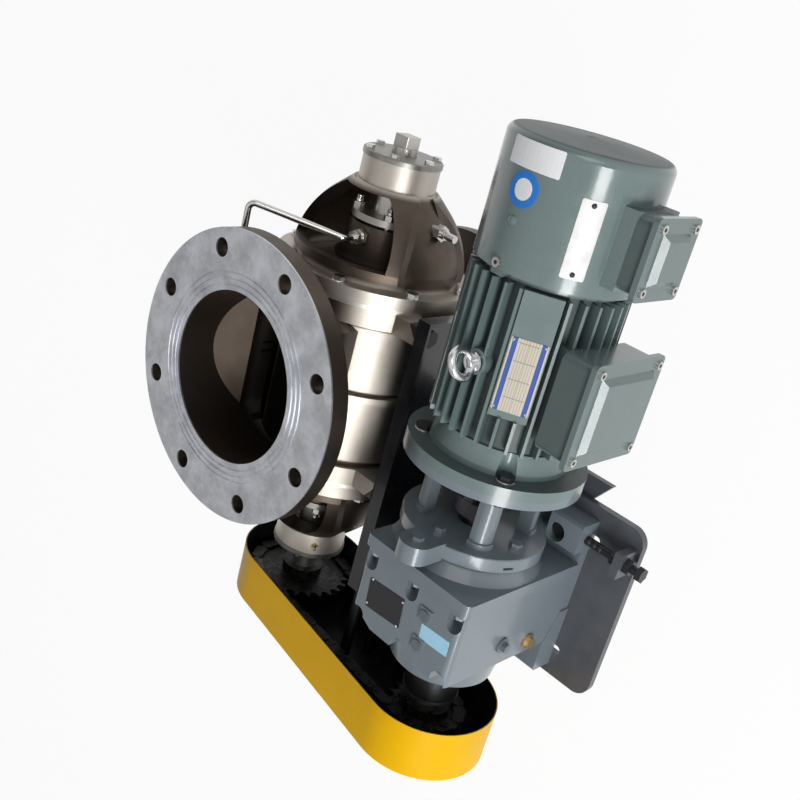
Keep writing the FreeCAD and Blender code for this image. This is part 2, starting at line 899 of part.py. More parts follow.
def make_purge_tube():
    """Small bent tube that feeds air to the gland."""
    out, fitting, elbow, corner, neck = purge_points()
    return run_of_tube([neck, corner, elbow, fitting], purge_tube_r, purge_bend_r)


def make_purge_fittings():
    """Compression fittings at both ends of the purge line."""
    out, fitting, elbow, corner, neck = purge_points()
    seat = V(fitting.x, 0, 0) + out * (boss_r - 1.0)
    gap_r = purge_tube_r + fit
    body = Part.makeCylinder(7, 16, seat, out).fuse(hexagon(17, 6, seat + out * 2.5, out))
    body = body.fuse(hexagon(14, 6, seat + out * 12, out))
    body = body.cut(Part.makeCylinder(gap_r, 40, fitting, out))
    body = body.cut(cyl(boss_r + fit, end_x, end_x + boss_top))
    pipe_end = V(neck.x - 12, neck.y, neck.z)
    socket = Part.makeCylinder(8, 22, pipe_end, V(1, 0, 0))
    socket = socket.fuse(hexagon(18, 8, pipe_end + V(12, 0, 0), V(1, 0, 0)))
    socket = socket.cut(Part.makeCylinder(gap_r, 40, neck, V(1, 0, 0)))
    neck_r = port_bore_d / 2 + neck_wall
    socket = socket.cut(upright(neck_r + 2.2, 0, shaft_z))
    return [body, socket]


def make_side_port():
    """Hose stub on the motor side of the bell."""
    x = neck_x - 30
    seat = V(x, -(boss_r + 25), 0)
    out = V(0, -1, 0)
    stub = Part.makeCylinder(6, 22, seat, out)
    stub = stub.fuse(hexagon(17, 8, seat + out * 9, out))
    stub = stub.fuse(Part.makeCylinder(4.5, 16, seat + out * 20, out))
    wall = bell_profile(0)
    solid = revolved([(end_x, 0), (end_x, bell_base_r)] + wall + [(neck_x, 0)])
    return stub.cut(solid)


def gear(module, teeth, x0, width, y, z, phase, bore_r, hub_r=0.0):
    """Spur gear with involute flanks; phase is the angle of one tooth's middle."""
    pitch_r = module * teeth / 2
    alpha = math.radians(pressure_angle)
    base_r = pitch_r * math.cos(alpha)
    tip_r = pitch_r + addendum * module
    root_r = pitch_r - dedendum * module
    half = math.pi / 2 / teeth - backlash / 2 / pitch_r
    inv_pitch = math.tan(alpha) - alpha
    start_r = max(base_r, root_r)
    flank = []
    for k in range(4):
        r = start_r + (tip_r - start_r) * k / 3
        at = math.acos(min(1.0, base_r / r))
        flank.append((r, half + inv_pitch - (math.tan(at) - at)))
    points = []
    for k in range(teeth):
        a = phase + 2 * math.pi * k / teeth
        foot = flank[0][1]
        gap = math.pi / teeth - foot
        row = [(root_r, a - foot - 0.25 * gap)]
        row += [(r, a - w) for r, w in flank]
        row += [(r, a + w) for r, w in reversed(flank)]
        row += [(root_r, a + foot + 0.25 * gap)]
        points += [V(x0, y + r * math.cos(t), z + r * math.sin(t)) for r, t in row]
    wheel = prism(points, V(width, 0, 0))
    if hub_r > 0:
        wheel = wheel.fuse(cyl(hub_r, x0 - 4, x0 + width + 4, y, z))
    if bore_r > 0:
        wheel = wheel.cut(cyl(bore_r, x0 - 6, x0 + width + 6, y, z))
    return wheel


first_centre = first_module * (first_pinion_teeth + first_gear_teeth) / 2
second_centre = second_module * (second_pinion_teeth + second_gear_teeth) / 2
middle_y = output_y + 0.5 * input_dy
middle_z = output_z - math.sqrt(second_centre ** 2 - (0.5 * input_dy) ** 2)
input_y = output_y + input_dy
input_z = middle_z + math.sqrt(first_centre ** 2 - (input_y - middle_y) ** 2)
first_gear_x = housing_x1 - housing_wall - gear_face - 4
second_gear_x = first_gear_x - gear_face - 12
unit_bottom = output_z - unit_height
unit_top = output_z + housing_top
side_y0 = output_y - housing_width / 2
side_y1 = output_y + housing_width / 2


def mesh_phase(gear_teeth, towards):
    """Turn that puts a tooth gap of a gear on the line to its mate."""
    return towards + math.pi / gear_teeth


def foot_pad(x_end, y0, y1):
    """Raised foot pad at one end, sloped down towards the middle of the foot."""
    low = unit_bottom
    high = unit_bottom + foot_pad_height
    way = 1 if x_end < housing_x0 + 1 else -1
    flat_end = x_end + way * foot_pad_length
    slope = foot_pad_slope if way > 0 else 0.0
    outline = [
        V(x_end, y0, low),
        V(x_end, y0, high - 3),
        V(x_end + way * 3, y0, high),
        V(flat_end, y0, high),
        V(flat_end + way * slope, y0, low + foot_t),
        V(flat_end + way * slope, y0, low),
    ]
    return prism(outline, V(0, y1 - y0, 0))


def make_housing():
    """Gear unit housing: hollow case, output snout, feet and bolt pockets."""
    w = housing_wall
    floor_z = unit_bottom + foot_t
    case = block(housing_x0, housing_x1, side_y0, side_y1, floor_z - 2, unit_top)
    edges = []
    for edge in case.Edges:
        across_x = abs(edge.tangentAt(edge.FirstParameter).x) > 0.9
        if across_x and edge.CenterOfMass.z > output_z:
            edges.append(edge)
    case = case.makeFillet(housing_corner_r, edges)
    corner = prism(
        [
            V(housing_x0 - 1, side_y1 + 1, floor_z - 3),
            V(housing_x0 + housing_end_corner, side_y1 + 1, floor_z - 3),
            V(housing_x0 - 1, side_y1 - 2 * housing_end_corner, floor_z - 3),
        ],
        V(0, 0, unit_top - floor_z + 10),
    )
    case = case.cut(corner)
    snout = revolved(
        [
            (housing_x0 + 1, 0),
            (housing_x0 + 1, snout_r0),
            (snout_x + 4, snout_r1),
            (snout_x, snout_r1 - 4),
            (snout_x, 0),
        ],
        output_y,
        output_z,
    )
    case = case.fuse(snout)
    foot = block(foot_x0, foot_x1, side_y0, side_y1, unit_bottom, floor_z)
    case = case.fuse(foot)
    for x_end in (foot_x0, foot_x1):
        case = case.fuse(foot_pad(x_end, side_y0 - 2, side_y0 - 2 + foot_pad_width))
        case = case.fuse(foot_pad(x_end, side_y1 + 2 - foot_pad_width, side_y1 + 2))
    for y in (output_y - 52, output_y + 52 - 10):
        web = prism(
            [
                V(foot_x0 + 6, y, floor_z - 1),
                V(housing_x0 + 1, y, floor_z - 1),
                V(housing_x0 + 1, y, output_z - 20),
                V(snout_x + 12, y, output_z - 40),
            ],
            V(0, 10, 0),
        )
        case = case.fuse(web)
    for x, y in top_plug_places():
        side = top_plug_side / 2
        case = case.fuse(block(x - side, x + side, y - side, y + side, unit_top - 1, unit_top + 2))
        case = case.cut(upright(5 + fit, unit_top - w, unit_top + 3, x, y))
    room = block(housing_x0 + w, housing_x1 + 1, side_y0 + w, side_y1 - w, floor_z, unit_top - w)
    room = room.cut(corner_fill(w))
    for y in pocket_places():
        half = pocket_r + pocket_wall
        low = unit_top - pocket_depth - pocket_wall
        front_x = housing_x1 - front_pocket_length - pocket_wall
        rear_x = housing_x0 + rear_pocket_length + pocket_wall
        room = room.cut(block(front_x, housing_x1 + 2, y - half, y + half, low, unit_top))
        room = room.cut(block(housing_x0, rear_x, y - half, y + half, low, unit_top))
    case = case.cut(room)
    case = case.cut(cyl(output_seat_r, snout_x - 1, housing_x0 + w + 1, output_y, output_z))
    case = case.cut(cyl(middle_seat_r, housing_x0 + 2, housing_x0 + w + 1, middle_y, middle_z))
    holes = []
    for y in pocket_places():
        holes.append(pocket(housing_x1 - front_pocket_length, housing_x1 - 6, y))
        holes.append(pocket(housing_x0 - 1, housing_x0 + rear_pocket_length, y))
        z = pocket_axis_z()
        holes.append(cyl(unit_bolt_d / 2 + hole_gap, housing_x1 - 8, housing_x1 + 1, y, z))
    for x, y in foot_bolt_places():
        holes.append(upright(foot_bolt_d / 2 + 0.5, unit_bottom - 1, floor_z + 30, x, y))
        holes.append(upright(foot_bolt_d + 1.5, floor_z + 5, floor_z + 60, x, y).common(
            block(x - 30, x + 30, y - 30, y + 30, floor_z + 5, unit_bottom + foot_pad_height + 1)))
    for x, z, r in oil_places().values():
        holes.append(across(r + hole_gap, side_y0 - 1, side_y0 + w + 1, x, z))
    x, z = tension_place()
    holes.append(across(tension_screw_r + thread_gap, side_y0 - 3, side_y0 + tension_depth, x, z))
    return case.cut(together(holes)).removeSplitter()


def corner_fill(wall):
    """Keeps the wall at the chamfered corner of the case."""
    return prism(
        [
            V(housing_x0, side_y1, unit_bottom),
            V(housing_x0 + housing_end_corner + 2 * wall, side_y1, unit_bottom),
            V(housing_x0, side_y1 - 2 * housing_end_corner - 2 * wall, unit_bottom),
        ],
        V(0, 0, unit_top + 10 - unit_bottom),
    )


def top_plug_places():
    """Square plug bosses on the top face."""
    return [(housing_x1 - 29, output_y - 27), (housing_x0 + 27, output_y - 28)]


def pocket_places():
    """Rows of bolt pockets across the top of the housing."""
    return [side_y0 + 11, output_y, side_y1 - 11]


def pocket_axis_z():
    """Height of the bolts that lie in the pockets."""
    return unit_top - pocket_depth / 2


def pocket(x0, x1, y):
    """Round-ended recess that lets a bolt head in from above."""
    low = unit_top - pocket_depth
    middle = x0 + pocket_r if x0 > housing_x0 else x1 - pocket_r
    deep = upright(pocket_r, low, unit_top + 1, middle, y)
    if x0 > housing_x0:
        return deep.fuse(block(middle, x1, y - pocket_r, y + pocket_r, low, unit_top + 1))
    return deep.fuse(block(x0, middle, y - pocket_r, y + pocket_r, low, unit_top + 1))


def foot_bolt_places():
    """Centres of the foot bolts."""
    places = []
    for x in (foot_x0 + foot_bolt_x, foot_x1 - foot_bolt_x - 2):
        for y in (side_y0 + foot_bolt_inset, side_y1 - foot_bolt_inset):
            places.append((x, y))
    return places


def oil_places():
    """Oil plugs on the outer side: x, z and thread radius."""
    return {
        "level": (housing_x0 + 16, output_z - 47, 7.0),
        "vent": (housing_x0 + 28, output_z + 4, 7.0),
    }


def tension_place():
    """Line along which the tension screw runs, as x and z."""
    return foot_x1 - 20, unit_bottom + foot_pad_height / 2


def make_front_plate():
    """Cover plate of the gear case that carries the input adaptor."""
    x0 = housing_x1
    x1 = housing_x1 + front_plate_t
    lip = front_plate_lip
    low = unit_bottom + foot_t + 0.2
    plate = block(x0, x1, side_y0 - lip, side_y1 + lip, low, unit_top + lip)
    edges = []
    for edge in plate.Edges:
        across_x = abs(edge.tangentAt(edge.FirstParameter).x) > 0.9
        if across_x and edge.CenterOfMass.z > output_z:
            edges.append(edge)
    plate = plate.makeFillet(housing_corner_r, edges)
    rise = adaptor_disc_x - x1
    foot = V(x1, input_y, input_z)
    neck = Part.makeCone(adaptor_disc_r + 4, adaptor_disc_r - 8, rise, foot, V(1, 0, 0))
    limits = block(x1 - 1, adaptor_disc_x, side_y0, side_y1, low + 14, unit_top)
    plate = plate.fuse(neck.common(limits))
    plate = plate.cut(cyl(input_seat_r, x0 + 4, adaptor_disc_x + 1, input_y, input_z))
    plate = plate.cut(cyl(input_shaft_r + free_gap, x0 - 1, x0 + 5, input_y, input_z))
    plate = plate.cut(cyl(middle_seat_r, x0 - 1, x0 + 8, middle_y, middle_z))
    holes = []
    for y in pocket_places():
        z = pocket_axis_z()
        holes.append(cyl(unit_bolt_d / 2 + hole_gap, x0 - 1, x0 + 11, y, z))
    for y, z, _ in adaptor_bolt_places():
        x_in = x1 - 2
        holes.append(cyl(unit_bolt_d / 2 + hole_gap, x_in, adaptor_disc_x + 1, input_y + y, input_z + z))
    return plate.cut(together(holes)).removeSplitter()


def adaptor_bolt_places():
    """Bolts of the adaptor disc, one in front of each lantern window."""
    return around(4, adaptor_bolt_pcd / 2)


def lantern_outline(half, corner, x):
    """Square with rounded corners about the input shaft, across X."""
    mid = corner * (1 - math.sqrt(0.5))
    points = []
    for y_way, z_way in ((1, 1), (-1, 1), (-1, -1), (1, -1)):
        ends = [(half, half - corner), (half - corner, half)]
        if y_way != z_way:
            ends.reverse()
        start, end = [V(x, input_y + y_way * y, input_z + z_way * z) for y, z in ends]
        middle = V(x, input_y + y_way * (half - mid), input_z + z_way * (half - mid))
        points += [start, (middle, end)]
    return points


def make_adaptor():
    """Input adaptor: base disc, square lantern with four windows, and motor flange."""
    x0 = adaptor_disc_x
    x1 = x0 + adaptor_disc_t
    x3 = motor_joint_x
    x2 = x3 - adaptor_flange_t
    edge = 3.0
    disc = revolved(
        [
            (x0, input_seat_r),
            (x0, adaptor_disc_r - edge),
            (x0 + edge, adaptor_disc_r),
            (x1 - 1, adaptor_disc_r),
            (x1, adaptor_disc_r - 1),
            (x1, input_seat_r),
        ],
        input_y,
        input_z,
    )
    flange = ring(motor_flange_r, motor_spigot_r, x2, x3, input_y, input_z)
    lantern = prism(lantern_outline(lantern_half, lantern_corner_r, x1 - 1), V(x2 - x1 + 2, 0, 0))
    foot = prism(lantern_outline(lantern_half + 2.5, lantern_corner_r + 2, x1 - 1), V(8, 0, 0))
    head = prism(lantern_outline(lantern_half + 3, lantern_corner_r + 2, x2 - 7), V(8, 0, 0))
    lantern = lantern.fuse(foot).fuse(head)
    lantern = lantern.cut(cyl(lantern_bore_r, x1 - 2, x2 + 2, input_y, input_z))
    half = lantern_window / 2
    reach = adaptor_disc_r
    for k in range(2):
        opening = block(x1, x2 - 6, -half, half, -reach, reach)
        opening.rotate(V(0, 0, 0), V(1, 0, 0), 90 * k)
        opening.translate(V(0, input_y, input_z))
        lantern = lantern.cut(opening)
    body = disc.fuse(lantern).fuse(flange)
    body = body.cut(cyl(motor_spigot_r, x2 + 1, x3 + 1, input_y, input_z))
    holes = []
    for y, z, _ in adaptor_bolt_places():
        holes.append(cyl(unit_bolt_d / 2 + hole_gap, x0 - 1, x1 + 1, input_y + y, input_z + z))
    for y, z, _ in around(4, motor_bolt_pcd / 2, 45):
        holes.append(cyl(motor_bolt_d / 2 + hole_gap, x2 - 1, x3 + 1, input_y + y, input_z + z))
    low = input_y - adaptor_disc_r - 1
    slot = block(x0 + 6, x0 + 9, low, input_y, input_z + 22, input_z + 34)
    body = body.cut(slot.cut(cyl(adaptor_disc_r - 8, x0, x1, input_y, input_z)))
    return body.cut(together(holes)).removeSplitter()


def make_motor_flange():
    """Drive-end shield of the motor with its round mounting flange."""
    x0 = motor_joint_x
    x1 = x0 + motor_flange_t
    shield = revolved(
        [
            (x0, motor_shaft_r + free_gap),
            (x0, motor_flange_r),
            (x1, motor_flange_r),
            (x1, endshield_r),
            (x1 + 6, endshield_r),
            (frame_x0, frame_r + 3),
            (frame_x0, frame_r - frame_wall),
            (frame_x0 - 8, frame_r - frame_wall - 2),
            (frame_x0 - 12, motor_bearing_r + 8),
            (frame_x0 - 2, motor_bearing_r + 8),
            (frame_x0 - 2, motor_bearing_r + fit),
            (frame_x0 - 16, motor_bearing_r + fit),
            (frame_x0 - 16, motor_shaft_r + free_gap),
        ],
        input_y,
        input_z,
    )
    for y, z, _ in around(4, motor_bolt_pcd / 2, 45):
        pocket_r = motor_bolt_d * 1.15
        shield = shield.cut(cyl(pocket_r, x1, frame_x0 + 1, input_y + y, input_z + z))
        shield = shield.cut(cyl(motor_bolt_d / 2 + hole_gap, x0 - 1, x1 + 1, input_y + y, input_z + z))
    return shield.removeSplitter()


def make_frame():
    """Ribbed motor frame with pads for the lifting eye and the terminal box."""
    body = cyl(frame_r, frame_x0, frame_x1, input_y, input_z)
    fins = []
    for k in range(fin_count):
        fin = block(frame_x0 + 2, frame_x1 - 2, -fin_t / 2, fin_t / 2, frame_r - 2, fin_r)
        fin.rotate(V(0, 0, 0), V(1, 0, 0), 360.0 / fin_count * (k + 0.5))
        fin.translate(V(0, input_y, input_z))
        fins.append(fin)
    body = body.multiFuse(fins)
    box_floor = input_y - box_outer_y + box_lid_t + 36
    pad = block(box_x0 + 6, box_x1 - 6, box_floor, input_y - frame_r + 12, input_z - 42, input_z + 42)
    low, high = input_z - box_half_z, input_z + box_half_z
    clear = block(box_x0 + 4, box_x1 - 4, box_floor - 20, box_floor, low, high)
    body = body.cut(clear).fuse(pad)
    eye = upright(13, input_z + frame_r - 6, input_z + fin_r, eye_x, input_y)
    body = body.fuse(eye)
    half = plate_pad_width / 2
    plate_pad = block(plate_pad_x, frame_x1 - 2, -half, half, frame_r - 8, plate_pad_r)
    above = block(plate_pad_x, frame_x1, -half, half, plate_pad_r, fin_r + 2)
    for shape in (plate_pad, above):
        shape.rotate(V(0, 0, 0), V(1, 0, 0), plate_pad_angle)
        shape.translate(V(0, input_y, input_z))
    body = body.cut(above).fuse(plate_pad)
    body = body.cut(cyl(frame_r - frame_wall, frame_x0 - 1, frame_x1 + 1, input_y, input_z))
    body = body.cut(upright(5 + hole_gap, input_z + fin_r - 12, input_z + fin_r + 1, eye_x, input_y))
    return body.removeSplitter()


def make_rear_shield():
    """Non-drive end shield with the lugs that carry the cowl."""
    x1 = frame_x1 + 16
    shield = revolved(
        [
            (frame_x1, frame_r - frame_wall),
            (frame_x1, frame_r + 3),
            (frame_x1 + 8, frame_r + 3),
            (x1, motor_bearing_r + 10),
            (x1, motor_shaft_r + free_gap),
            (x1 - 4, motor_shaft_r + free_gap),
            (x1 - 4, motor_bearing_r + fit),
            (x1 - 16, motor_bearing_r + fit),
            (x1 - 16, motor_bearing_r + 6),
            (frame_x1 + 2, frame_r - frame_wall - 6),
        ],
        input_y,
        input_z,
    )
    half = cowl_lug_width / 2
    lug_x1 = cowl_screw_x + 10
    lug_r = cowl_r - cowl_wall
    for y, z, angle in cowl_screw_places():
        lug = block(frame_x1, frame_x1 + 8, -half, half, frame_r, lug_r)
        lug = lug.fuse(block(frame_x1 + 7, lug_x1, -half, half, lug_r - cowl_lug_t, lug_r))
        lug = lug.common(cyl(lug_r, frame_x1, lug_x1 + 1))
        lug = lug.cut(upright(cowl_screw_r + hole_gap, lug_r - 2 * cowl_lug_t, lug_r + 3, cowl_screw_x))
        lug.rotate(V(0, 0, 0), V(1, 0, 0), angle)
        lug.translate(V(0, input_y, input_z))
        shield = shield.fuse(lug)
    return shield.removeSplitter()


def make_cowl():
    """Drum-shaped fan cowl with a closed end and air slots low on its far side."""
    x0, x1, r, w, c = cowl_x0, cowl_x1, cowl_r, cowl_wall, cowl_corner_r
    k = c * (1 - math.sqrt(0.5))
    ci = c - w
    ki = ci * (1 - math.sqrt(0.5))
    cowl = revolved(
        [
            (x0, r - w),
            (x0, r),
            (x1 - c - cowl_dome, r),
            (x1 - k - cowl_dome, r - k, x1 - cowl_dome, r - c),
            (x1, 0),
            (x1 - w, 0),
            (x1 - w - cowl_dome, r - c),
            (x1 - w - cowl_dome - ki, r - w - ki, x1 - c - cowl_dome, r - w),
        ],
        input_y,
        input_z,
    )
    slots = []
    for n in range(cowl_slot_count):
        slot_x0 = fan_x - cowl_slot_length / 2
        slot = block(slot_x0, slot_x0 + cowl_slot_length, -2.5, 2.5, r - 2 * w, r + w)
        slot.rotate(V(0, 0, 0), V(1, 0, 0), 190 + 12.0 * n)
        slot.translate(V(0, input_y, input_z))
        slots.append(slot)
    cowl = cowl.cut(together(slots))
    pad_y = input_y - cowl_r
    pad = block(fan_box_x0 + 2, fan_box_x1 - 2, pad_y - 8, pad_y + 16, input_z - 36, input_z + 36)
    pad = pad.cut(cyl(r - w, x0 - 1, x1 + 1, input_y, input_z))
    cowl = cowl.fuse(pad)
    holes = []
    for y, z, angle in cowl_screw_places():
        hole = upright(cowl_screw_r + hole_gap, cowl_r - 5, cowl_r + 3, cowl_screw_x)
        hole.rotate(V(0, 0, 0), V(1, 0, 0), angle)
        hole.translate(V(0, input_y, input_z))
        holes.append(hole)
    return cowl.cut(together(holes)).removeSplitter()


def cowl_screw_places():
    """Directions of the cowl screws, from +Z in degrees."""
    return around(cowl_screw_count, cowl_r, -6)


def make_cowl_screws():
    """Screws that hold the cowl to lugs on the frame."""
    screws = []
    for y, z, angle in cowl_screw_places():
        one = upright(2 * cowl_screw_r, cowl_r, cowl_r + 3, cowl_screw_x)
        one = one.fuse(upright(cowl_screw_r, cowl_r - 8, cowl_r + 2, cowl_screw_x))
        one.rotate(V(0, 0, 0), V(1, 0, 0), angle)
        one.translate(V(0, input_y, input_z))
        screws.append(one)
    return screws


def lid_screw_places(x0, x1, half_z, inset):
    """Corner screws of a terminal box lid."""
    places = []
    for x in (x0 + inset, x1 - inset):
        for z in (input_z - half_z + inset, input_z + half_z - inset):
            places.append((x, z))
    return places


def terminal_box(x0, x1, outer_y, lid_t, half_z, inner_y):
    """Open terminal box, cut to the round frame behind it."""
    top = input_y - outer_y + lid_t
    body = block(x0 + 4, x1 - 4, top, inner_y, input_z - half_z + 4, input_z + half_z - 4)
    edges = [e for e in body.Edges if abs(e.tangentAt(e.FirstParameter).y) > 0.9]
    body = body.makeFillet(10, edges)
    room = block(x0 + 11, x1 - 11, top - 1, top + 26, input_z - half_z + 17, input_z + half_z - 17)
    body = body.cut(room)
    for x, z in lid_screw_places(x0, x1, half_z, 10):
        body = body.cut(across(2.5 + hole_gap, top - 1, top + 12, x, z))
    return body


def lid(x0, x1, outer_y, lid_t, half_z):
    """Box lid with a bevelled raised middle."""
    face = input_y - outer_y
    flat_t = lid_t * 0.5
    flat = block(x0, x1, face + lid_t - flat_t, face + lid_t, input_z - half_z, input_z + half_z)
    edges = [e for e in flat.Edges if abs(e.tangentAt(e.FirstParameter).y) > 0.9]
    flat = flat.makeFillet(6, edges)
    m = 15.0
    rise = lid_t - flat_t
    low = Part.makePolygon(
        [
            V(x0 + m, face + rise, input_z - half_z + m),
            V(x1 - m, face + rise, input_z - half_z + m),
            V(x1 - m, face + rise, input_z + half_z - m),
            V(x0 + m, face + rise, input_z + half_z - m),
            V(x0 + m, face + rise, input_z - half_z + m),
        ]
    )
    n = m + rise
    high = Part.makePolygon(
        [
            V(x0 + n, face, input_z - half_z + n),
            V(x1 - n, face, input_z - half_z + n),
            V(x1 - n, face, input_z + half_z - n),
            V(x0 + n, face, input_z + half_z - n),
            V(x0 + n, face, input_z - half_z + n),
        ]
    )
    raised = Part.makeLoft([low, high], True, True)
    cover = flat.fuse(raised)
    for x, z in lid_screw_places(x0, x1, half_z, 10):
        cover = cover.cut(across(2.5 + hole_gap, face - 1, face + lid_t + 1, x, z))
    return cover


def lid_screws(x0, x1, outer_y, lid_t, half_z):
    """Cheese-head screws of a lid."""
    seat = input_y - outer_y + lid_t * 0.5
    screws = []
    for x, z in lid_screw_places(x0, x1, half_z, 10):
        head = across(4.5, seat - 3, seat, x, z)
        screws.append(head.fuse(across(2.5, seat, seat + lid_t * 0.5 + 10, x, z)))
    return screws


def make_eye_bolt():
    """Lifting eye on top of the motor."""
    z0 = input_z + fin_r
    collar = upright(11, z0, z0 + 5, eye_x, input_y)
    stem = upright(5, z0 - 11, z0 + 10, eye_x, input_y)
    torus = Part.makeTorus(14, 4.2, V(eye_x, input_y, z0 + 21), V(0.5, -0.87, 0))
    return collar.fuse(stem).fuse(torus)


def make_fan(x0, count, outer):
    """Axial fan with its own shaft."""
    hub = cyl(16, x0, x0 + 22, input_y, input_z)
    hub = hub.fuse(cyl(fan_shaft_r, x0 - 38, x0 + 1, input_y, input_z))
    blades = []
    for k in range(count):
        blade = block(x0 + 2, x0 + 20, -1.2, 1.2, 13, outer)
        blade.rotate(V(x0 + 11, 0, 20), V(0, 0, 1), 28)
        blade.rotate(V(0, 0, 0), V(1, 0, 0), 360.0 / count * k)
        blade.translate(V(0, input_y, input_z))
        blades.append(blade)
    return hub.multiFuse(blades)


def make_fan_motor():
    """Small cooling motor on a three-legged spider inside the cowl."""
    body = cyl(26, fan_x - 70, fan_x - 14, input_y, input_z)
    legs = []
    for k in range(3):
        leg = block(fan_x - 60, fan_x - 52, -5, 5, 24, cowl_r)
        leg.rotate(V(0, 0, 0), V(1, 0, 0), 120 * k + 40)
        leg.translate(V(0, input_y, input_z))
        legs.append(leg)
    body = body.multiFuse(legs)
    body = body.common(cyl(cowl_r - cowl_wall - fit, fan_x - 80, fan_x, input_y, input_z))
    return body.cut(cyl(fan_shaft_r + fit, fan_x - 40, fan_x - 13, input_y, input_z))


# Bracket behind the valve
plate_y1 = -(body_flange_r + bracket_gap)
plate_y0 = plate_y1 - bracket_t
base_top = unit_bottom
base_low = base_top - base_t
shelf_low = base_low - shelf_t


def bracket_bolt_places():
    """Bolts from the back plate into the body lugs, as x, z."""
    places = []
    for side in (-1, 1):
        for height in (-body_lug_spread / 2, body_lug_spread / 2):
            places.append((side * (end_x - body_flange_t / 2), height))
    return places


def make_back_plate():
    """Pressed back plate with a folded rim, open towards the motor."""
    plate = block(bracket_x0, bracket_x1, plate_y0, plate_y1, bracket_foot, bracket_top)
    r = bracket_rim
    x0, x1 = bracket_x0 + r, bracket_x1 - r
    recess = block(x0, x1, plate_y0 - 1, plate_y1 - bracket_web, bracket_foot + r, bracket_top - r)
    plate = plate.cut(recess)
    for x, z in bracket_bolt_places():
        plate = plate.cut(across(lug_bolt_d / 2 + hole_gap, plate_y0 - 1, plate_y1 + 1, x, z))
    for y, z in stay_places():
        if z + stay_r > bracket_foot:
            hole = cyl(stay_bolt_r + hole_gap, bracket_x0 - 1, bracket_x0 + r + 1, y, z)
            plate = plate.cut(hole)
    return plate


def stay_places():
    """Guard stays, in the open side of the back plate."""
    y = plate_y0 + stay_inset
    z = y / output_y * output_z
    return [(y, z - stay_spread / 2), (y, z + stay_spread / 2)]


def make_shelf():
    """Welded shelf with raked end and two gussets under the back plate rim."""
    out_y = -(body_flange_r + bracket_gap + shelf_out)
    shelf = prism(
        [
            V(base_x0 + 6, plate_y0, shelf_low),
            V(base_x0 + 6, out_y + 20, shelf_low),
            V(base_x1 - 4, out_y + 20, shelf_low),
            V(shelf_x1, out_y, shelf_low),
            V(shelf_x1, plate_y0, shelf_low),
        ],
        V(0, 0, shelf_t),
    )
    for x in (base_x0 + 30, shelf_x1 - 40):
        gusset = prism(
            [
                V(x, plate_y0, shelf_low + 0.5),
                V(x, plate_y0 - 120, shelf_low + 0.5),
                V(x, plate_y0, bracket_foot - 40),
            ],
            V(gusset_t, 0, 0),
        )
        shelf = shelf.fuse(gusset)
    cuts = []
    for x, y in foot_bolt_places():
        cuts.append(slot_hole(x, y, shelf_low - 60, base_top, foot_bolt_d + 4))
    for x, y in shelf_bolt_places():
        cuts.append(upright(shelf_bolt_d / 2 + hole_gap, shelf_low - 1, base_top, x, y))
    return shelf.cut(together(cuts)).removeSplitter()


def slot_hole(x, y, z0, z1, half):
    """Slot along Y that lets a foot bolt travel for chain tension."""
    y0 = y - slot_reach
    y1 = y + slot_back
    shape = block(x - half, x + half, y0, y1, z0, z1)
    return shape.fuse(upright(half, z0, z1, x, y0)).fuse(upright(half, z0, z1, x, y1))


def shelf_bolt_places():
    """Bolts that hold the base plate to the shelf, behind the gear unit."""
    y = plate_y0 - 26
    return [(base_x0 + 56, y), ((base_x0 + base_x1) / 2, y), (base_x1 - 40, y)]


def make_base_plate():
    """Base plate with slots for the foot bolts and a lug for the tension screw."""
    y0 = -base_out
    plate = rounded_slab(base_x0, base_x1, y0, plate_y0, base_low, base_top, base_corner_r)
    x, z = tension_place()
    lug = block(x - 15, x + 15, y0 + 4, y0 + 14, base_top - 1, z + 15)
    plate = plate.fuse(lug)
    plate = plate.cut(across(tension_screw_r + fit, y0, y0 + 16, x, z))
    cuts = []
    for x, y in foot_bolt_places():
        cuts.append(slot_hole(x, y, base_low - 1, base_top + 1, foot_bolt_d / 2 + 0.5))
    for x, y in shelf_bolt_places():
        cuts.append(upright(shelf_bolt_d / 2 + hole_gap, base_low - 1, base_top + 1, x, y))
    return plate.cut(together(cuts)).removeSplitter()


def make_tension_screw():
    """Tension screw fixed in the foot, drawn outwards by the nuts at the lug."""
    y0 = -base_out
    x, z = tension_place()
    rod = across(tension_screw_r, y0 - 16, side_y0 + tension_depth - 1, x, z)
    return rod.fuse(hexagon(3.2 * tension_screw_r, 7, V(x, y0 - 12, z), V(0, -1, 0)))


def make_tension_nuts():
    """Nuts on the tension screw, one each side of the lug."""
    y0 = -base_out
    x, z = tension_place()
    outer = hexagon(3.4 * tension_screw_r, 8, V(x, y0 + 4, z), V(0, -1, 0))
    inner = hexagon(3.4 * tension_screw_r, 8, V(x, y0 + 14, z), V(0, 1, 0))
    bore = across(tension_screw_r + fit, y0 - 20, y0 + 40, x, z)
    return [outer.cut(bore), inner.cut(bore)]


def make_guard():
    """Chain guard: oval wall and closed outer side, open towards the valve."""
    def oval(radius, x0, x1):
        big = cyl(radius, x0, x1).fuse(cyl(radius, x0, x1, output_y, output_z))
        length = centre_distance
        middle = block(x0, x1, -length, 0, -radius, radius)
        middle.rotate(V(0, 0, 0), V(1, 0, 0), -chain_incline)
        return big.fuse(middle).removeSplitter()

    guard = oval(guard_r, guard_far_x, guard_near_x)
    guard = guard.cut(oval(guard_r - guard_wall, guard_far_x + guard_wall, guard_near_x + 1))
    for y, z in stay_places():
        far_end = guard_far_x + guard_wall + 1
        guard = guard.cut(cyl(stay_bolt_r + hole_gap, guard_far_x - 1, far_end, y, z))
    return guard


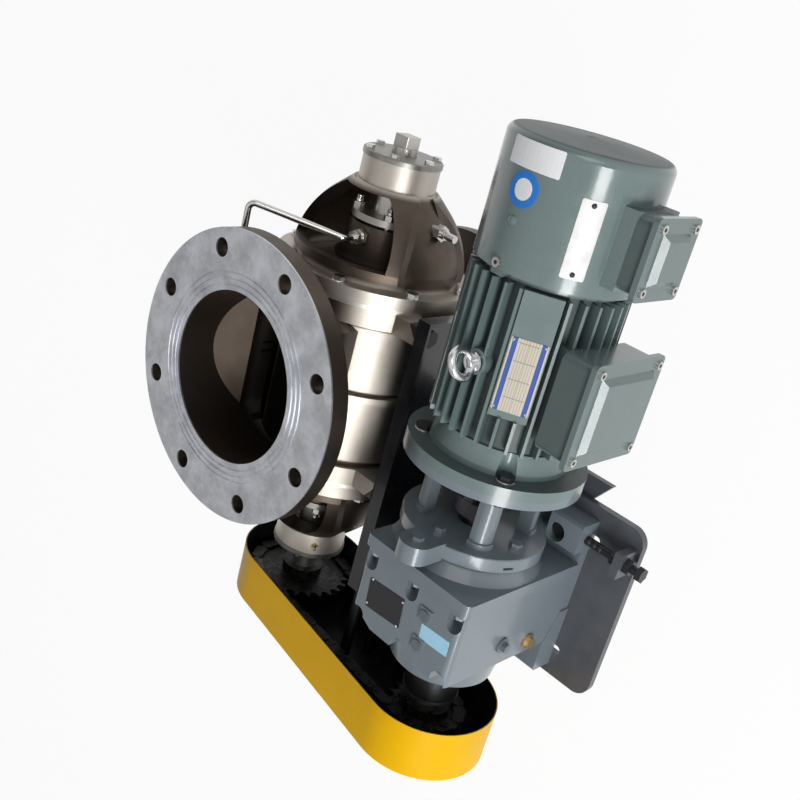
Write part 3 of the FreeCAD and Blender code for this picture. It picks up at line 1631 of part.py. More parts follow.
def make_stays():
    """Stays that carry the guard on the back plate."""
    stays = []
    for y, z in stay_places():
        stay = cyl(stay_r, guard_far_x + guard_wall, bracket_x0, y, z)
        stay = stay.fuse(cyl(stay_bolt_r, guard_far_x - 6, bracket_x0 + bracket_rim + 8, y, z))
        stays.append(stay)
    return stays


def make_guard_nuts():
    """Nuts on both ends of the stays."""
    nuts = []
    for y, z in stay_places():
        nuts.append(nut(2 * stay_bolt_r, V(guard_far_x, y, z), V(-1, 0, 0)))
        nuts.append(nut(2 * stay_bolt_r, V(bracket_x0 + bracket_rim, y, z), V(1, 0, 0)))
    return nuts


def coupling_half(x0, x1, jaw_x0, jaw_x1, bore_r, turn):
    """Claw coupling half with three jaws."""
    half = cyl(26, x0, x1, input_y, input_z)
    for k in range(3):
        jaw = block(jaw_x0, jaw_x1, -6, 6, 13, 25)
        jaw.rotate(V(0, 0, 0), V(1, 0, 0), 120 * k + turn)
        jaw.translate(V(0, input_y, input_z))
        half = half.fuse(jaw)
    return half.cut(cyl(bore_r, x0 - 30, x1 + 30, input_y, input_z))


def make_motor_shaft():
    """Motor shaft with its laminated core, on two bearings."""
    shaft = cyl(motor_shaft_r, coupling_x + 32, frame_x1 + 15, input_y, input_z)
    core = cyl(motor_core_r, frame_x0 + 28, frame_x1 - 28, input_y, input_z)
    return shaft.fuse(core)


def make_output_shaft():
    """Output shaft with its collar, carrying the drive sprocket."""
    tail = sprocket_x0 - 3
    inner_end = second_gear_x + gear_face + 8
    collar_x = seal_housing_x - 1
    return revolved(
        [
            (tail, 0),
            (tail, shaft_drive_r),
            (collar_x - collar_t, shaft_drive_r),
            (collar_x - collar_t, collar_r),
            (collar_x, collar_r),
            (collar_x, output_shaft_r),
            (inner_end, output_shaft_r),
            (inner_end, 0),
        ],
        output_y,
        output_z,
    )


def make_middle_shaft():
    """Middle shaft with the pinion cut on it."""
    pinion = gear(
        second_module,
        second_pinion_teeth,
        second_gear_x - 1,
        gear_face + 2,
        middle_y,
        middle_z,
        math.atan2(output_z - middle_z, output_y - middle_y),
        0.0,
    )
    shaft = cyl(middle_shaft_r, housing_x0 + 3, housing_x1 + 7, middle_y, middle_z)
    return shaft.fuse(pinion)


def make_input_shaft():
    """Input shaft with the first pinion on its end."""
    pinion = gear(
        first_module,
        first_pinion_teeth,
        first_gear_x - 1,
        gear_face,
        input_y,
        input_z,
        math.atan2(middle_z - input_z, middle_y - input_y),
        0.0,
    )
    shaft = cyl(input_neck_r, first_gear_x - 2, housing_x1 + 2, input_y, input_z)
    shaft = shaft.fuse(cyl(input_shaft_r, housing_x1 + 1, coupling_x + 22, input_y, input_z))
    return shaft.fuse(pinion)


def make_gear_bearings():
    """Ball bearings of the three gear shafts."""
    low = housing_x0 + 2
    return [
        make_bearing(output_shaft_r + fit, output_seat_r, snout_x + 2, 14, output_y, output_z),
        make_bearing(output_shaft_r + fit, output_seat_r, housing_x0 - 8, 14, output_y, output_z),
        make_bearing(middle_shaft_r + fit, middle_seat_r, low, housing_wall - 2, middle_y, middle_z),
        make_bearing(middle_shaft_r + fit, middle_seat_r, housing_x1 + 1, 7, middle_y, middle_z),
        make_bearing(input_shaft_r + fit, input_seat_r, housing_x1 + 5, 14, input_y, input_z),
    ]


def make_motor_bearings():
    """Ball bearings in both end shields of the motor."""
    return [
        make_bearing(motor_shaft_r + fit, motor_bearing_r, frame_x0 - 16, 12, input_y, input_z),
        make_bearing(motor_shaft_r + fit, motor_bearing_r, frame_x1 + 0.5, 11, input_y, input_z),
    ]


def make_stator():
    """Stator stack with winding heads, pressed in the frame."""
    x0, x1 = frame_x0 + 26, frame_x1 - 26
    inner = motor_core_r + 0.6
    outer = frame_r - frame_wall - 0.02
    return revolved(
        [
            (x0, inner),
            (x0 - 14, inner + 4),
            (x0 - 14, outer - 6),
            (x0, outer - 4),
            (x0, outer),
            (x1, outer),
            (x1, outer - 4),
            (x1 + 14, outer - 6),
            (x1 + 14, inner + 4),
            (x1, inner),
        ],
        input_y,
        input_z,
    )


def make_plugs():
    """Oil plugs on the outer side and square plugs on top of the gear case."""
    plugs = []
    for x, z, r in oil_places().values():
        plug = across(r, side_y0, side_y0 + housing_wall, x, z)
        plug = plug.fuse(across(r + 2.5, side_y0 - 3, side_y0, x, z))
        plugs.append(plug.fuse(hexagon(1.5 * r, 6, V(x, side_y0 - 3, z), V(0, -1, 0))))
    for x, y in top_plug_places():
        plug = upright(5, unit_top - housing_wall + 1, unit_top + 2, x, y)
        plugs.append(plug.fuse(upright(6.5, unit_top + 2, unit_top + 4, x, y)))
    return plugs


def make_lifting_lug():
    """Lifting lug on the input adaptor's rim, closed by a plug."""
    x0 = adaptor_disc_x
    x1 = x0 + adaptor_disc_t + 3
    y = input_y - 7
    z = input_z + adaptor_disc_r + lifting_lug_r + 2
    lug = cyl(lifting_lug_r, x0, x1, y, z)
    foot_z = input_z + adaptor_disc_r - 8
    lug = lug.fuse(block(x0, x1, y - lifting_lug_r, y + lifting_lug_r, foot_z, z))
    lug = lug.cut(cyl(adaptor_disc_r + fit, x0 - 1, x1 + 1, input_y, input_z))
    plug = cyl(6, x1 - 12, x1, y, z).fuse(hexagon(13, 5, V(x1, y, z), V(1, 0, 0)))
    return lug.fuse(plug)


# Assembly
NODES = {}
places = roller_places()
seat_driven = math.atan2(places[3][1], places[3][0])
small_seats = [p for p in places if math.hypot(p[0] - output_y, p[1] - output_z) < 50]
middle_seat = small_seats[len(small_seats) // 2]
seat_drive = math.atan2(middle_seat[1] - output_z, middle_seat[0] - output_y)
sprocket_x0 = chain_x - sprocket_hub_length / 2

NODES["valve_body"] = make_body()
cover = make_cover()
NODES["free_end_cover"] = cover
NODES["drive_end_cover"] = mirrored(cover)
NODES["cover_bolts"] = both_ends(cover_screws())
bearing_x = housing_end_x - bearing_width - 5
bearing = make_bearing(shaft_bearing_r + fit, bearing_outer_r, bearing_x, bearing_width)
NODES["rotor_bearings"] = both_ends([bearing])
NODES["free_bearing_cap"] = make_cap(shaft_stub_r + free_gap)
NODES["drive_bearing_cap"] = mirrored(make_cap(shaft_bearing_r + free_gap))
NODES["bearing_cap_bolts"] = both_ends(cap_screws())
NODES["packing_rings"] = both_ends(packing_set())
NODES["gland_followers"] = both_ends([gland_follower()])
NODES["gland_studs"] = both_ends(gland_studs())
NODES["purge_tube"] = make_purge_tube()
NODES["purge_fittings"] = together(make_purge_fittings() + [make_side_port()])
NODES["rotor_wheel"] = make_rotor()
NODES["rotor_shaft"] = make_rotor_shaft()
NODES["driven_sprocket"] = sprocket(
    driven_teeth, seat_driven, driven_hub_r, shaft_drive_r + fit, 0.0, 0.0, sprocket_x0
)
NODES["roller_chain"] = make_chain()
NODES["chain_guard"] = make_guard()
NODES["guard_stays"] = together(make_stays())
NODES["guard_nuts"] = together(make_guard_nuts())
NODES["bracket_back_plate"] = make_back_plate()
NODES["bracket_shelf"] = make_shelf()
NODES["bracket_bolts"] = together(
    [
        screw(lug_bolt_d, bracket_web + 22, V(x, plate_y1 - bracket_web, z), V(0, -1, 0))
        for x, z in bracket_bolt_places()
    ]
)
NODES["base_plate"] = make_base_plate()
shelf_fasteners = []
for x, y in shelf_bolt_places():
    length = base_t + shelf_t + shelf_bolt_d + 2
    shelf_fasteners.append(screw(shelf_bolt_d, length, V(x, y, base_top), V(0, 0, 1)))
    shelf_fasteners.append(nut(shelf_bolt_d, V(x, y, shelf_low), V(0, 0, -1)))
NODES["base_plate_bolts"] = together(shelf_fasteners)
NODES["tension_screw"] = make_tension_screw()
NODES["tension_nuts"] = together(make_tension_nuts())

# Gear unit and motor
NODES["gear_housing"] = make_housing()
NODES["gear_front_plate"] = make_front_plate()
unit_screws = []
for y in pocket_places():
    seat = V(housing_x1 - 6, y, pocket_axis_z())
    unit_screws.append(screw(unit_bolt_d, 16, seat, V(-1, 0, 0), 0.5))
for y, z, _ in adaptor_bolt_places():
    seat = V(adaptor_disc_x + adaptor_disc_t, input_y + y, input_z + z)
    unit_screws.append(screw(unit_bolt_d, adaptor_disc_t + 14, seat, V(1, 0, 0)))
NODES["gear_unit_bolts"] = together(unit_screws)
foot_screws = []
for x, y in foot_bolt_places():
    length = foot_t + 5 + base_t + foot_bolt_d + 3
    foot_screws.append(screw(foot_bolt_d, length, V(x, y, unit_bottom + foot_t + 5), V(0, 0, 1)))
    foot_screws.append(nut(foot_bolt_d, V(x, y, base_low), V(0, 0, -1)))
NODES["foot_bolts"] = together(foot_screws)
NODES["oil_plugs"] = together(make_plugs())
NODES["lifting_lug"] = make_lifting_lug()
NODES["input_adaptor"] = make_adaptor()
NODES["motor_flange"] = make_motor_flange()
flange_screws = []
for y, z, _ in around(4, motor_bolt_pcd / 2, 45):
    seat = V(motor_joint_x + motor_flange_t, input_y + y, input_z + z)
    flange_screws.append(screw(motor_bolt_d, motor_flange_t + adaptor_flange_t + 8, seat, V(1, 0, 0)))
NODES["motor_flange_bolts"] = together(flange_screws)
NODES["motor_frame"] = make_frame()
NODES["stator"] = make_stator()
NODES["rear_end_shield"] = make_rear_shield()
NODES["fan_cowl"] = make_cowl()
NODES["cowl_screws"] = together(make_cowl_screws())
box_back = input_y - box_outer_y + box_lid_t + 36
NODES["terminal_box"] = terminal_box(
    box_x0, box_x1, box_outer_y, box_lid_t, box_half_z, box_back
)
NODES["terminal_box_lid"] = lid(box_x0, box_x1, box_outer_y, box_lid_t, box_half_z)
NODES["fan_terminal_box"] = terminal_box(
    fan_box_x0, fan_box_x1, fan_box_outer_y, box_lid_t, fan_box_half_z, input_y - cowl_r - 8
)
NODES["fan_terminal_lid"] = lid(fan_box_x0, fan_box_x1, fan_box_outer_y, box_lid_t, fan_box_half_z)
NODES["lid_screws"] = together(
    lid_screws(box_x0, box_x1, box_outer_y, box_lid_t, box_half_z)
    + lid_screws(fan_box_x0, fan_box_x1, fan_box_outer_y, box_lid_t, fan_box_half_z)
)
NODES["eye_bolt"] = make_eye_bolt()
NODES["fan_motor"] = make_fan_motor()
NODES["cooling_fan"] = make_fan(fan_x, fan_blade_count, cowl_r - cowl_wall - 3)

# Turning parts of the drive
NODES["output_shaft"] = make_output_shaft()
NODES["output_gear"] = gear(
    second_module,
    second_gear_teeth,
    second_gear_x,
    gear_face,
    output_y,
    output_z,
    mesh_phase(second_gear_teeth, math.atan2(middle_z - output_z, middle_y - output_y)),
    output_shaft_r + fit,
    output_shaft_r + 8,
)
NODES["drive_sprocket"] = sprocket(
    drive_teeth, seat_drive, drive_hub_r, shaft_drive_r + fit, output_y, output_z, sprocket_x0
)
NODES["middle_shaft"] = make_middle_shaft()
NODES["middle_gear"] = gear(
    first_module,
    first_gear_teeth,
    first_gear_x,
    gear_face - 2,
    middle_y,
    middle_z,
    mesh_phase(first_gear_teeth, math.atan2(input_z - middle_z, input_y - middle_y)),
    middle_shaft_r + fit,
)
NODES["input_shaft"] = make_input_shaft()
NODES["input_coupling_half"] = coupling_half(
    coupling_x, coupling_x + 18, coupling_x + 18, coupling_x + 30, input_shaft_r + fit, 0
)
NODES["motor_coupling_half"] = coupling_half(
    coupling_x + 31, coupling_x + 49, coupling_x + 19, coupling_x + 31, motor_shaft_r + fit, 60
)
NODES["motor_shaft"] = make_motor_shaft()
NODES["output_seal_housing"] = ring(
    seal_housing_r, output_shaft_r + free_gap, seal_housing_x, snout_x, output_y, output_z
)
NODES["drive_bearings"] = together(make_gear_bearings() + make_motor_bearings())

for name, shape in NODES.items():
    lifted(shape).exportStep("parts/" + name + ".step")
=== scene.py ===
"""Looks of a rotary airlock valve with its geared motor and chain drive.

Everything is in metres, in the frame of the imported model: the rotor turns about X, the
inlet flange faces +Z and the outlet flange stands on the floor.
"""

import math

import bmesh
import bpy
from mathutils import Matrix, Vector


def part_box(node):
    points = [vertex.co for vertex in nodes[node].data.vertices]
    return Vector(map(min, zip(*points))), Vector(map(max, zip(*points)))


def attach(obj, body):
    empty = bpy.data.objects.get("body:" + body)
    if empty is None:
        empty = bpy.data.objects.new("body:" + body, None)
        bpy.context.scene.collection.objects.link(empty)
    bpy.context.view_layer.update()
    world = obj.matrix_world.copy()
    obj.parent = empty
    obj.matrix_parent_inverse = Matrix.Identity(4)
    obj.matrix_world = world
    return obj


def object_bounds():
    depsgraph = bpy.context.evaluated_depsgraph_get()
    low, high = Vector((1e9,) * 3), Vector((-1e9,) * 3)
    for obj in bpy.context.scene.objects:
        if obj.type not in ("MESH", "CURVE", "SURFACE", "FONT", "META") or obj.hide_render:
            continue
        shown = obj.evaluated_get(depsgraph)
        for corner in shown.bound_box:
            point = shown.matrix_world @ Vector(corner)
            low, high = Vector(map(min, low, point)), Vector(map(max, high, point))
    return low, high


bl_info = {
    "name": "Rotary Airlock Valve",
    "version": (1, 0, 0),
    "blender": (4, 5, 0),
    "location": "View3D > Sidebar > Airlock Valve",
    "description": "Finishes and small parts of a rotary airlock valve with a chain drive",
    "category": "Object",
}

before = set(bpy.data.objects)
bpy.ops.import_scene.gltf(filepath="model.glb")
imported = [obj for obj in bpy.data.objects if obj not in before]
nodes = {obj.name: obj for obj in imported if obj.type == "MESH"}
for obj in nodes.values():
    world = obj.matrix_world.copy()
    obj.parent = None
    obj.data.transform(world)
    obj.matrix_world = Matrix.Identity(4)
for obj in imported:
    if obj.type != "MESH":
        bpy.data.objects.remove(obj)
cad_low, cad_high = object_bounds()

MM = 0.001
SHAFT_Z = 195 * MM
OUTPUT_Y, OUTPUT_Z = -289.03 * MM, 243.0 * MM
MOTOR_Y, MOTOR_Z = -278.03 * MM, 243.0 * MM
PORT_FLANGE_R = 170 * MM
GUARD_R = 83 * MM
GUARD_WALL = 2 * MM
GUARD_FAR_X = -353 * MM
BOSS_R = 47 * MM
NIPPLE_X = 249 * MM
COWL_R = 84 * MM
COWL_SCREW_R = 87 * MM
COWL_SCREW_DEGREES = -6
PAD_R = 80 * MM
PAD_DEGREES = 33
PLUG_BOSS = 2 * MM
GASKET_T = 1.6 * MM
LABEL_T = 0.3 * MM
LEVEL_PLUG_TOP = 215 * MM
SLIDE = 8 * MM
SLIDE_ROOM = 0.6 * MM
FLOOR_GLOW = 0.93
CAMERA_PLACE = (0.48722, -0.85088, 1.12787)
CAMERA_DEGREES = (-9.5663, 43.3898, -70.5524)
X_AXIS = Vector((1, 0, 0))
Z_AXIS = Vector((0, 0, 1))
ALONG_X = (0.06, 1.0, 1.0)  # scale of a noise that is drawn out along X


def colour_setting(name, description, default):
    """A colour that a user can pick."""
    return bpy.props.FloatVectorProperty(
        name=name, description=description, subtype="COLOR", default=default, min=0.0, max=1.0
    )


class FinishSettings(bpy.types.PropertyGroup):
    """Colours that a user may want to change."""

    motor_green: colour_setting(
        "Motor paint", "Colour of the motor's paint", (0.120, 0.172, 0.168)
    )
    unit_grey: colour_setting(
        "Gear unit paint", "Colour of the gear unit's paint", (0.146, 0.180, 0.203)
    )
    guard_yellow: colour_setting(
        "Chain guard paint", "Colour of the outside of the chain guard", (0.76, 0.425, 0.0004)
    )
    cast_steel: colour_setting(
        "Cast stainless steel", "Colour of the cast body and covers", (0.50, 0.455, 0.405)
    )
    plate_grey: colour_setting(
        "Bracket paint", "Colour of the base plate and the shelf", (0.062, 0.067, 0.078)
    )


class StageSettings(bpy.types.PropertyGroup):
    """Camera and studio light."""

    lens: bpy.props.FloatProperty(
        name="Lens", description="Focal length in mm", default=47.83, min=10.0, max=300.0
    )
    key_power: bpy.props.FloatProperty(
        name="Key light", description="Power of the key light in watts", default=43.0, min=0.0
    )
    fill_power: bpy.props.FloatProperty(
        name="Fill light", description="Power of the fill light in watts", default=10.0, min=0.0
    )
    ambient: bpy.props.FloatProperty(
        name="Ambient", description="Light from the room", default=0.24, min=0.0, max=2.0
    )


# Nodes


def arithmetic(operation, swapped=False):
    """A method of Value that adds one Math node."""

    def method(self, *others):
        numbers = (*others, self) if swapped else (self, *others)
        inputs = dict(enumerate(numbers))
        return self.owner.node("ShaderNodeMath", {"operation": operation}, inputs)

    return method


class Value:
    """An output of a node. An expression on it adds the Math nodes that work it out."""

    def __init__(self, owner, socket):
        self.owner = owner
        self.socket = socket

    __add__ = arithmetic("ADD")
    __radd__ = arithmetic("ADD", swapped=True)
    __sub__ = arithmetic("SUBTRACT")
    __rsub__ = arithmetic("SUBTRACT", swapped=True)
    __mul__ = arithmetic("MULTIPLY")
    __rmul__ = arithmetic("MULTIPLY", swapped=True)
    __pow__ = arithmetic("POWER")
    larger = arithmetic("MAXIMUM")
    smaller = arithmetic("MINIMUM")
    size = arithmetic("ABSOLUTE")
    wave = arithmetic("SINE")

    def largest(self, *others):
        value = self
        for other in others:
            value = value.larger(other)
        return value

    def above(self, low, high):
        """0 below low, 1 above high, and a soft step between."""
        settings = {"interpolation_type": "SMOOTHSTEP"}
        return self.owner.node("ShaderNodeMapRange", settings, {0: self, 1: low, 2: high})

    def below(self, low, high):
        """1 below low, 0 above high, and a soft step between."""
        return 1 - self.above(low, high)

    def band(self, start, full, fading, end):
        """1 from full to fading, 0 outside start and end, and soft steps between."""
        return self.above(start, full) * self.below(fading, end)


def hypotenuse(a, b):
    """Length of the long side over two sides at right angles."""
    return (a * a + b * b) ** 0.5


class Nodes:
    """A node tree that is built up from expressions."""

    def __init__(self, tree):
        self.tree = tree

    def node(self, kind, settings=None, inputs=None, output=0):
        """Adds a node, sets it, feeds its sockets, and gives one output."""
        made = self.tree.nodes.new(kind)
        for name, value in (settings or {}).items():
            setattr(made, name, value)
        for key, value in (inputs or {}).items():
            self.feed(made.inputs[key], value)
        return Value(self, made.outputs[output])

    def feed(self, socket, value):
        if isinstance(value, Value):
            self.tree.links.new(value.socket, socket)
        elif socket.type == "RGBA":
            socket.default_value = (*value[:3], 1.0)
        else:
            socket.default_value = value


class Shader(Nodes):
    """The nodes of a material or a world."""

    def __init__(self, owner, output):
        owner.use_nodes = True
        super().__init__(owner.node_tree)
        self.tree.nodes.clear()
        self.end = self.tree.nodes.new(output).inputs["Surface"]

    def parts_of(self, vector):
        """x, y and z of a vector."""
        split = self.tree.nodes.new("ShaderNodeSeparateXYZ")
        self.feed(split.inputs[0], vector)
        return [Value(self, s) for s in split.outputs]

    def straight_rays(self):
        """1 for rays from the camera, off mirrors and through glass, 0 for light that spreads."""
        kinds = ("Is Camera Ray", "Is Glossy Ray", "Is Transmission Ray")
        camera, *others = [self.node("ShaderNodeLightPath", output=kind) for kind in kinds]
        return camera.largest(*others)

    def end_mixed(self, factor, first, second):
        """Ends in a mix of two shaders."""
        inputs = {0: factor, 1: first, 2: second}
        self.feed(self.end, self.node("ShaderNodeMixShader", inputs=inputs))


class Finish(Shader):
    """One material and the nodes that make it."""

    known = {}

    def __init__(self, name):
        self.known[name] = self.material = bpy.data.materials.new(name)
        super().__init__(self.material, "ShaderNodeOutputMaterial")
        self.shader = self.tree.nodes.new("ShaderNodeBsdfPrincipled")
        self.surface = Value(self, self.shader.outputs["BSDF"])
        self.feed(self.end, self.surface)
        self.place = self.node("ShaderNodeTexCoord", output="Object")

    def coordinates(self):
        """x, y and z on the object, in metres."""
        return self.parts_of(self.place)

    def facing(self):
        """x, y and z of the direction that the surface faces."""
        return self.parts_of(self.node("ShaderNodeNewGeometry", output="Normal"))

    def about(self, centre_y, centre_z):
        """x, and the distance from an axis along X."""
        x, y, z = self.coordinates()
        return x, hypotenuse(y - centre_y, z - centre_z)

    def noise(self, scale, detail=3.0, roughness=0.55, stretch=None):
        """Noise with that many lumps in a metre, drawn out along an axis by stretch."""
        place = self.place
        if stretch:
            place = self.node("ShaderNodeMapping", inputs={"Vector": place, "Scale": stretch})
        inputs = {"Vector": place, "Scale": scale, "Detail": detail, "Roughness": roughness}
        return self.node("ShaderNodeTexNoise", inputs=inputs)

    def streaks(self, along, scale, detail=4.0):
        """Noise on one number, such as the radius of a turned face."""
        inputs = {"W": along * scale, "Scale": 1.0, "Detail": detail, "Roughness": 0.7}
        return self.node("ShaderNodeTexNoise", {"noise_dimensions": "1D"}, inputs)

    def specks(self, scale, size):
        """1 in small round spots, 0 elsewhere."""
        cells = self.node("ShaderNodeTexVoronoi", inputs={"Vector": self.place, "Scale": scale})
        return cells.below(size * 0.6, size)

    def mix(self, factor, first, second):
        """A colour between two others."""
        settings = {"data_type": "RGBA"}
        return self.node("ShaderNodeMix", settings, {0: factor, 6: first, 7: second}, output=2)

    def blend(self, factor, first, second):
        """A number between two others."""
        return self.node("ShaderNodeMix", {"data_type": "FLOAT"}, {0: factor, 2: first, 3: second})

    def bump(self, height, depth):
        """A normal for a height from 0 to 1 that stands for depth metres."""
        inputs = {"Strength": 1.0, "Distance": depth, "Height": height}
        return self.node("ShaderNodeBump", inputs=inputs)

    def done(self, colour, roughness, metallic=0.0, normal=None, **sockets):
        """Feeds the sockets of the shader."""
        inputs = {"Base Color": colour, "Roughness": roughness, "Metallic": metallic}
        if normal is not None:
            inputs["Normal"] = normal
        for name, value in sockets.items():
            inputs[name.replace("_", " ").title().replace("Ior", "IOR")] = value
        for label, value in inputs.items():
            self.feed(self.shader.inputs[label], value)


def shade(colour, factor):
    """The colour made darker or lighter."""
    return tuple(min(1.0, c * factor) for c in colour)


def tint(colour, *factors):
    """The colour with each channel made darker by its own factor."""
    return tuple(c * factor for c, factor in zip(colour, factors))


# Finishes


def cast_steel(name, colour, machined=None, painted_shade_and_joint=None, machined_tone=(0.50, 0.51, 0.54)):
    """Blasted cast stainless steel. machined gives (mask, distance from the lathe's axis).

    The fourth argument gives the mask of the places darkened as painted shade, and of the covers'
    dark joint line."""
    f = Finish(name)
    lumps = f.noise(26, 4.0)
    patches = f.noise(7, 2.0)
    grain = f.noise(1100, 3.0, 0.7)
    stain = f.noise(55, 5.0, 0.65).above(0.52, 0.72)
    base = f.mix(lumps, shade(colour, 0.80), shade(colour, 1.10))
    base = f.mix(stain * 0.35, base, tint(colour, 0.66, 0.58, 0.50))
    # Painted shade: the masked places go towards a near-black tone.
    if painted_shade_and_joint:
        dark = painted_shade_and_joint(f) * (0.82 + lumps * 0.18)
        base = f.mix(dark, base, tint(colour, 0.115, 0.088, 0.070))
    rough = 0.31 + lumps * 0.13 + patches * 0.10 + grain * 0.06
    height = grain * 0.6 + lumps * 0.4
    if machined:
        mask, radius = machined(f)
        turned = f.streaks(radius, 2600)
        smear = f.noise(34, 5.0, 0.7)
        bright = f.mix(smear.above(0.30, 0.70), machined_tone, shade(machined_tone, 1.55))
        bright = f.mix(turned * 0.35, bright, shade(machined_tone, 0.8))
        base = f.mix(mask, base, bright)
        rough = f.blend(mask, rough, 0.27 + smear * 0.16 + turned * 0.10)
        height = f.blend(mask, height, turned * 0.5)
    f.done(base, rough, 1.0, f.bump(height, 0.00012))


def dark_necks(f):
    """Painted shade: bores, necks, port flange rims and backs, and the grooves beside the rib and
    flanges.
    """
    x, y, z = f.coordinates()
    height = (z - SHAFT_Z).size()
    from_port = hypotenuse(x, y)
    from_shaft = hypotenuse(y, z - SHAFT_Z)
    along = x.size()
    neck = height.above(0.094, 0.112) * from_port.below(0.150, 0.165)
    rim = from_port.above(PORT_FLANGE_R - 0.0010, PORT_FLANGE_R - 0.0004)
    back = height.above(0.166, 0.170)
    low = from_shaft.below(0.1165, 0.1175)
    rib = along.band(0.0038, 0.0044, 0.0062, 0.0085) * low
    root = along.band(0.0835, 0.0865, 0.0898, 0.0902) * low
    bore = from_shaft.below(0.1024, 0.1030)
    return neck.largest(rim, back, rib, root, bore) * height.below(0.1925, 0.1935)


def dark_bells(f):
    """Painted shade on the bell walls up to the bearing housing and the face inside the drum, and
    the dark joint line.
    """
    x, radius = f.about(0.0, SHAFT_Z)
    along = x.size()
    walls = along.band(0.131, 0.139, 0.226, 0.234)
    joint = along.band(0.1118, 0.1121, 0.1128, 0.1138)
    inner = radius.below(0.1018, 0.1024) * along.below(0.1250, 0.1310)
    return walls.largest(joint, inner)


def flange_faces(f):
    """Both flange faces of the body, turned about the ports' axis."""
    x, y, z = f.coordinates()
    return (z - SHAFT_Z).size().above(0.1932, 0.1938), hypotenuse(x, y)


def about_rotor(low, high, bore=0.0):
    """Faces of a turned part between two places along the rotor shaft, outside a bore."""
    edge = 0.0003

    def mask(f):
        x, radius = f.about(0.0, SHAFT_Z)
        face = x.size().band(low - edge, low, high, high + edge)
        return (face * radius.above(bore - 0.0002, bore) if bore else face), radius

    return mask


def turned_steel(name, colour, centre, roughness=0.26, oil=0.0):
    """Steel turned on a lathe about an axis along X through centre."""
    f = Finish(name)
    x, radius = f.about(*centre)
    turned = f.streaks(x + radius * 0.7, 2300)
    smear = f.noise(60, 4.0)
    base = f.mix(turned, shade(colour, 0.78), shade(colour, 1.08))
    base = f.mix(smear.above(0.5, 0.75) * (0.25 + oil), base, shade(colour, 0.45))
    rough = roughness + turned * 0.12 + smear * 0.10
    f.done(base, rough, 1.0, f.bump(turned, 0.00003))


def fastener_steel(name, colour, roughness, wear=0.3, metallic=1.0):
    """Rolled and formed fasteners: fine scratches and a cloudy tone."""
    f = Finish(name)
    scratches = f.noise(420, 3.0, 0.6, stretch=(1.0, 0.25, 0.6))
    cloud = f.noise(130, 3.0)
    base = f.mix(cloud, shade(colour, 0.72), shade(colour, 1.15))
    base = f.mix(scratches.above(0.58, 0.72) * wear, base, shade(colour, 1.9))
    rough = roughness + cloud * 0.14 - scratches.above(0.5, 0.8) * 0.05
    f.done(base, rough, metallic, f.bump(scratches, 0.00004))


def fin_roots(f):
    """Painted shade in the bottoms of the gaps between the motor's fins and on the flange face
    below them.
    """
    x, radius = f.about(MOTOR_Y, MOTOR_Z)
    roots = x.band(0.058, 0.060, 0.229, 0.231) * radius.below(0.068, 0.0815)
    seat = f.facing()[0].above(0.7, 0.95) * x.below(0.060, 0.062)
    return roots.larger(seat * 0.8)


def upper_faces(f):
    """Faces that look up, darkened as painted shade."""
    return f.facing()[2].above(0.55, 0.95) * 0.72


def cowl_end(f):
    """The closed end of the cowl and its rounded edge, darkened as painted shade."""
    return f.facing()[0].above(0.72, 0.98) * 0.9


def paint(name, colour, roughness=0.34, casting=1.0, dust=0.25, coat=0.25, painted_shade=None):
    """Sprayed enamel over a casting or a plate: orange peel, sand grain, dust and chips.

    The last argument gives the mask of the places that are darkened as painted shade."""
    f = Finish(name)
    facing = f.facing()[2]
    peel = f.noise(240, 2.0, 0.4)
    sand = f.noise(700, 3.0, 0.65)
    waves = f.noise(32, 3.0)
    tone = f.noise(9, 2.0)
    base = f.mix(waves * 0.6 + tone * 0.4, shade(colour, 0.90), shade(colour, 1.09))
    settled = facing.above(0.2, 0.95) * f.noise(30, 5.0, 0.6).above(0.35, 0.85)
    base = f.mix(settled * dust, base, (0.30, 0.30, 0.29))
    chips = f.specks(70, 0.10) * f.noise(21, 2.0).above(0.58, 0.66)
    base = f.mix(chips * 0.5, base, shade(colour, 1.9))
    scuffs = f.noise(60, 4.0, 0.7, stretch=(0.2, 1.0, 1.4)).above(0.62, 0.74)
    rough = roughness + waves * 0.08 + settled * 0.20 + scuffs * 0.08
    # Painted shade: the masked places are darkened, made rougher and lose their coat.
    if painted_shade:
        grime_and_painted_shade = painted_shade(f) * (0.8 + waves * 0.2)
        base = f.mix(grime_and_painted_shade, base, shade(colour, 0.28))
        rough = f.blend(grime_and_painted_shade, rough, 0.62)
        coat = coat * (1 - grime_and_painted_shade)
    height = peel * 0.35 + sand * 0.45 * casting + waves * 0.6 * casting
    f.done(base, rough, 0.0, f.bump(height, 0.00016), coat_weight=coat, coat_roughness=0.12)


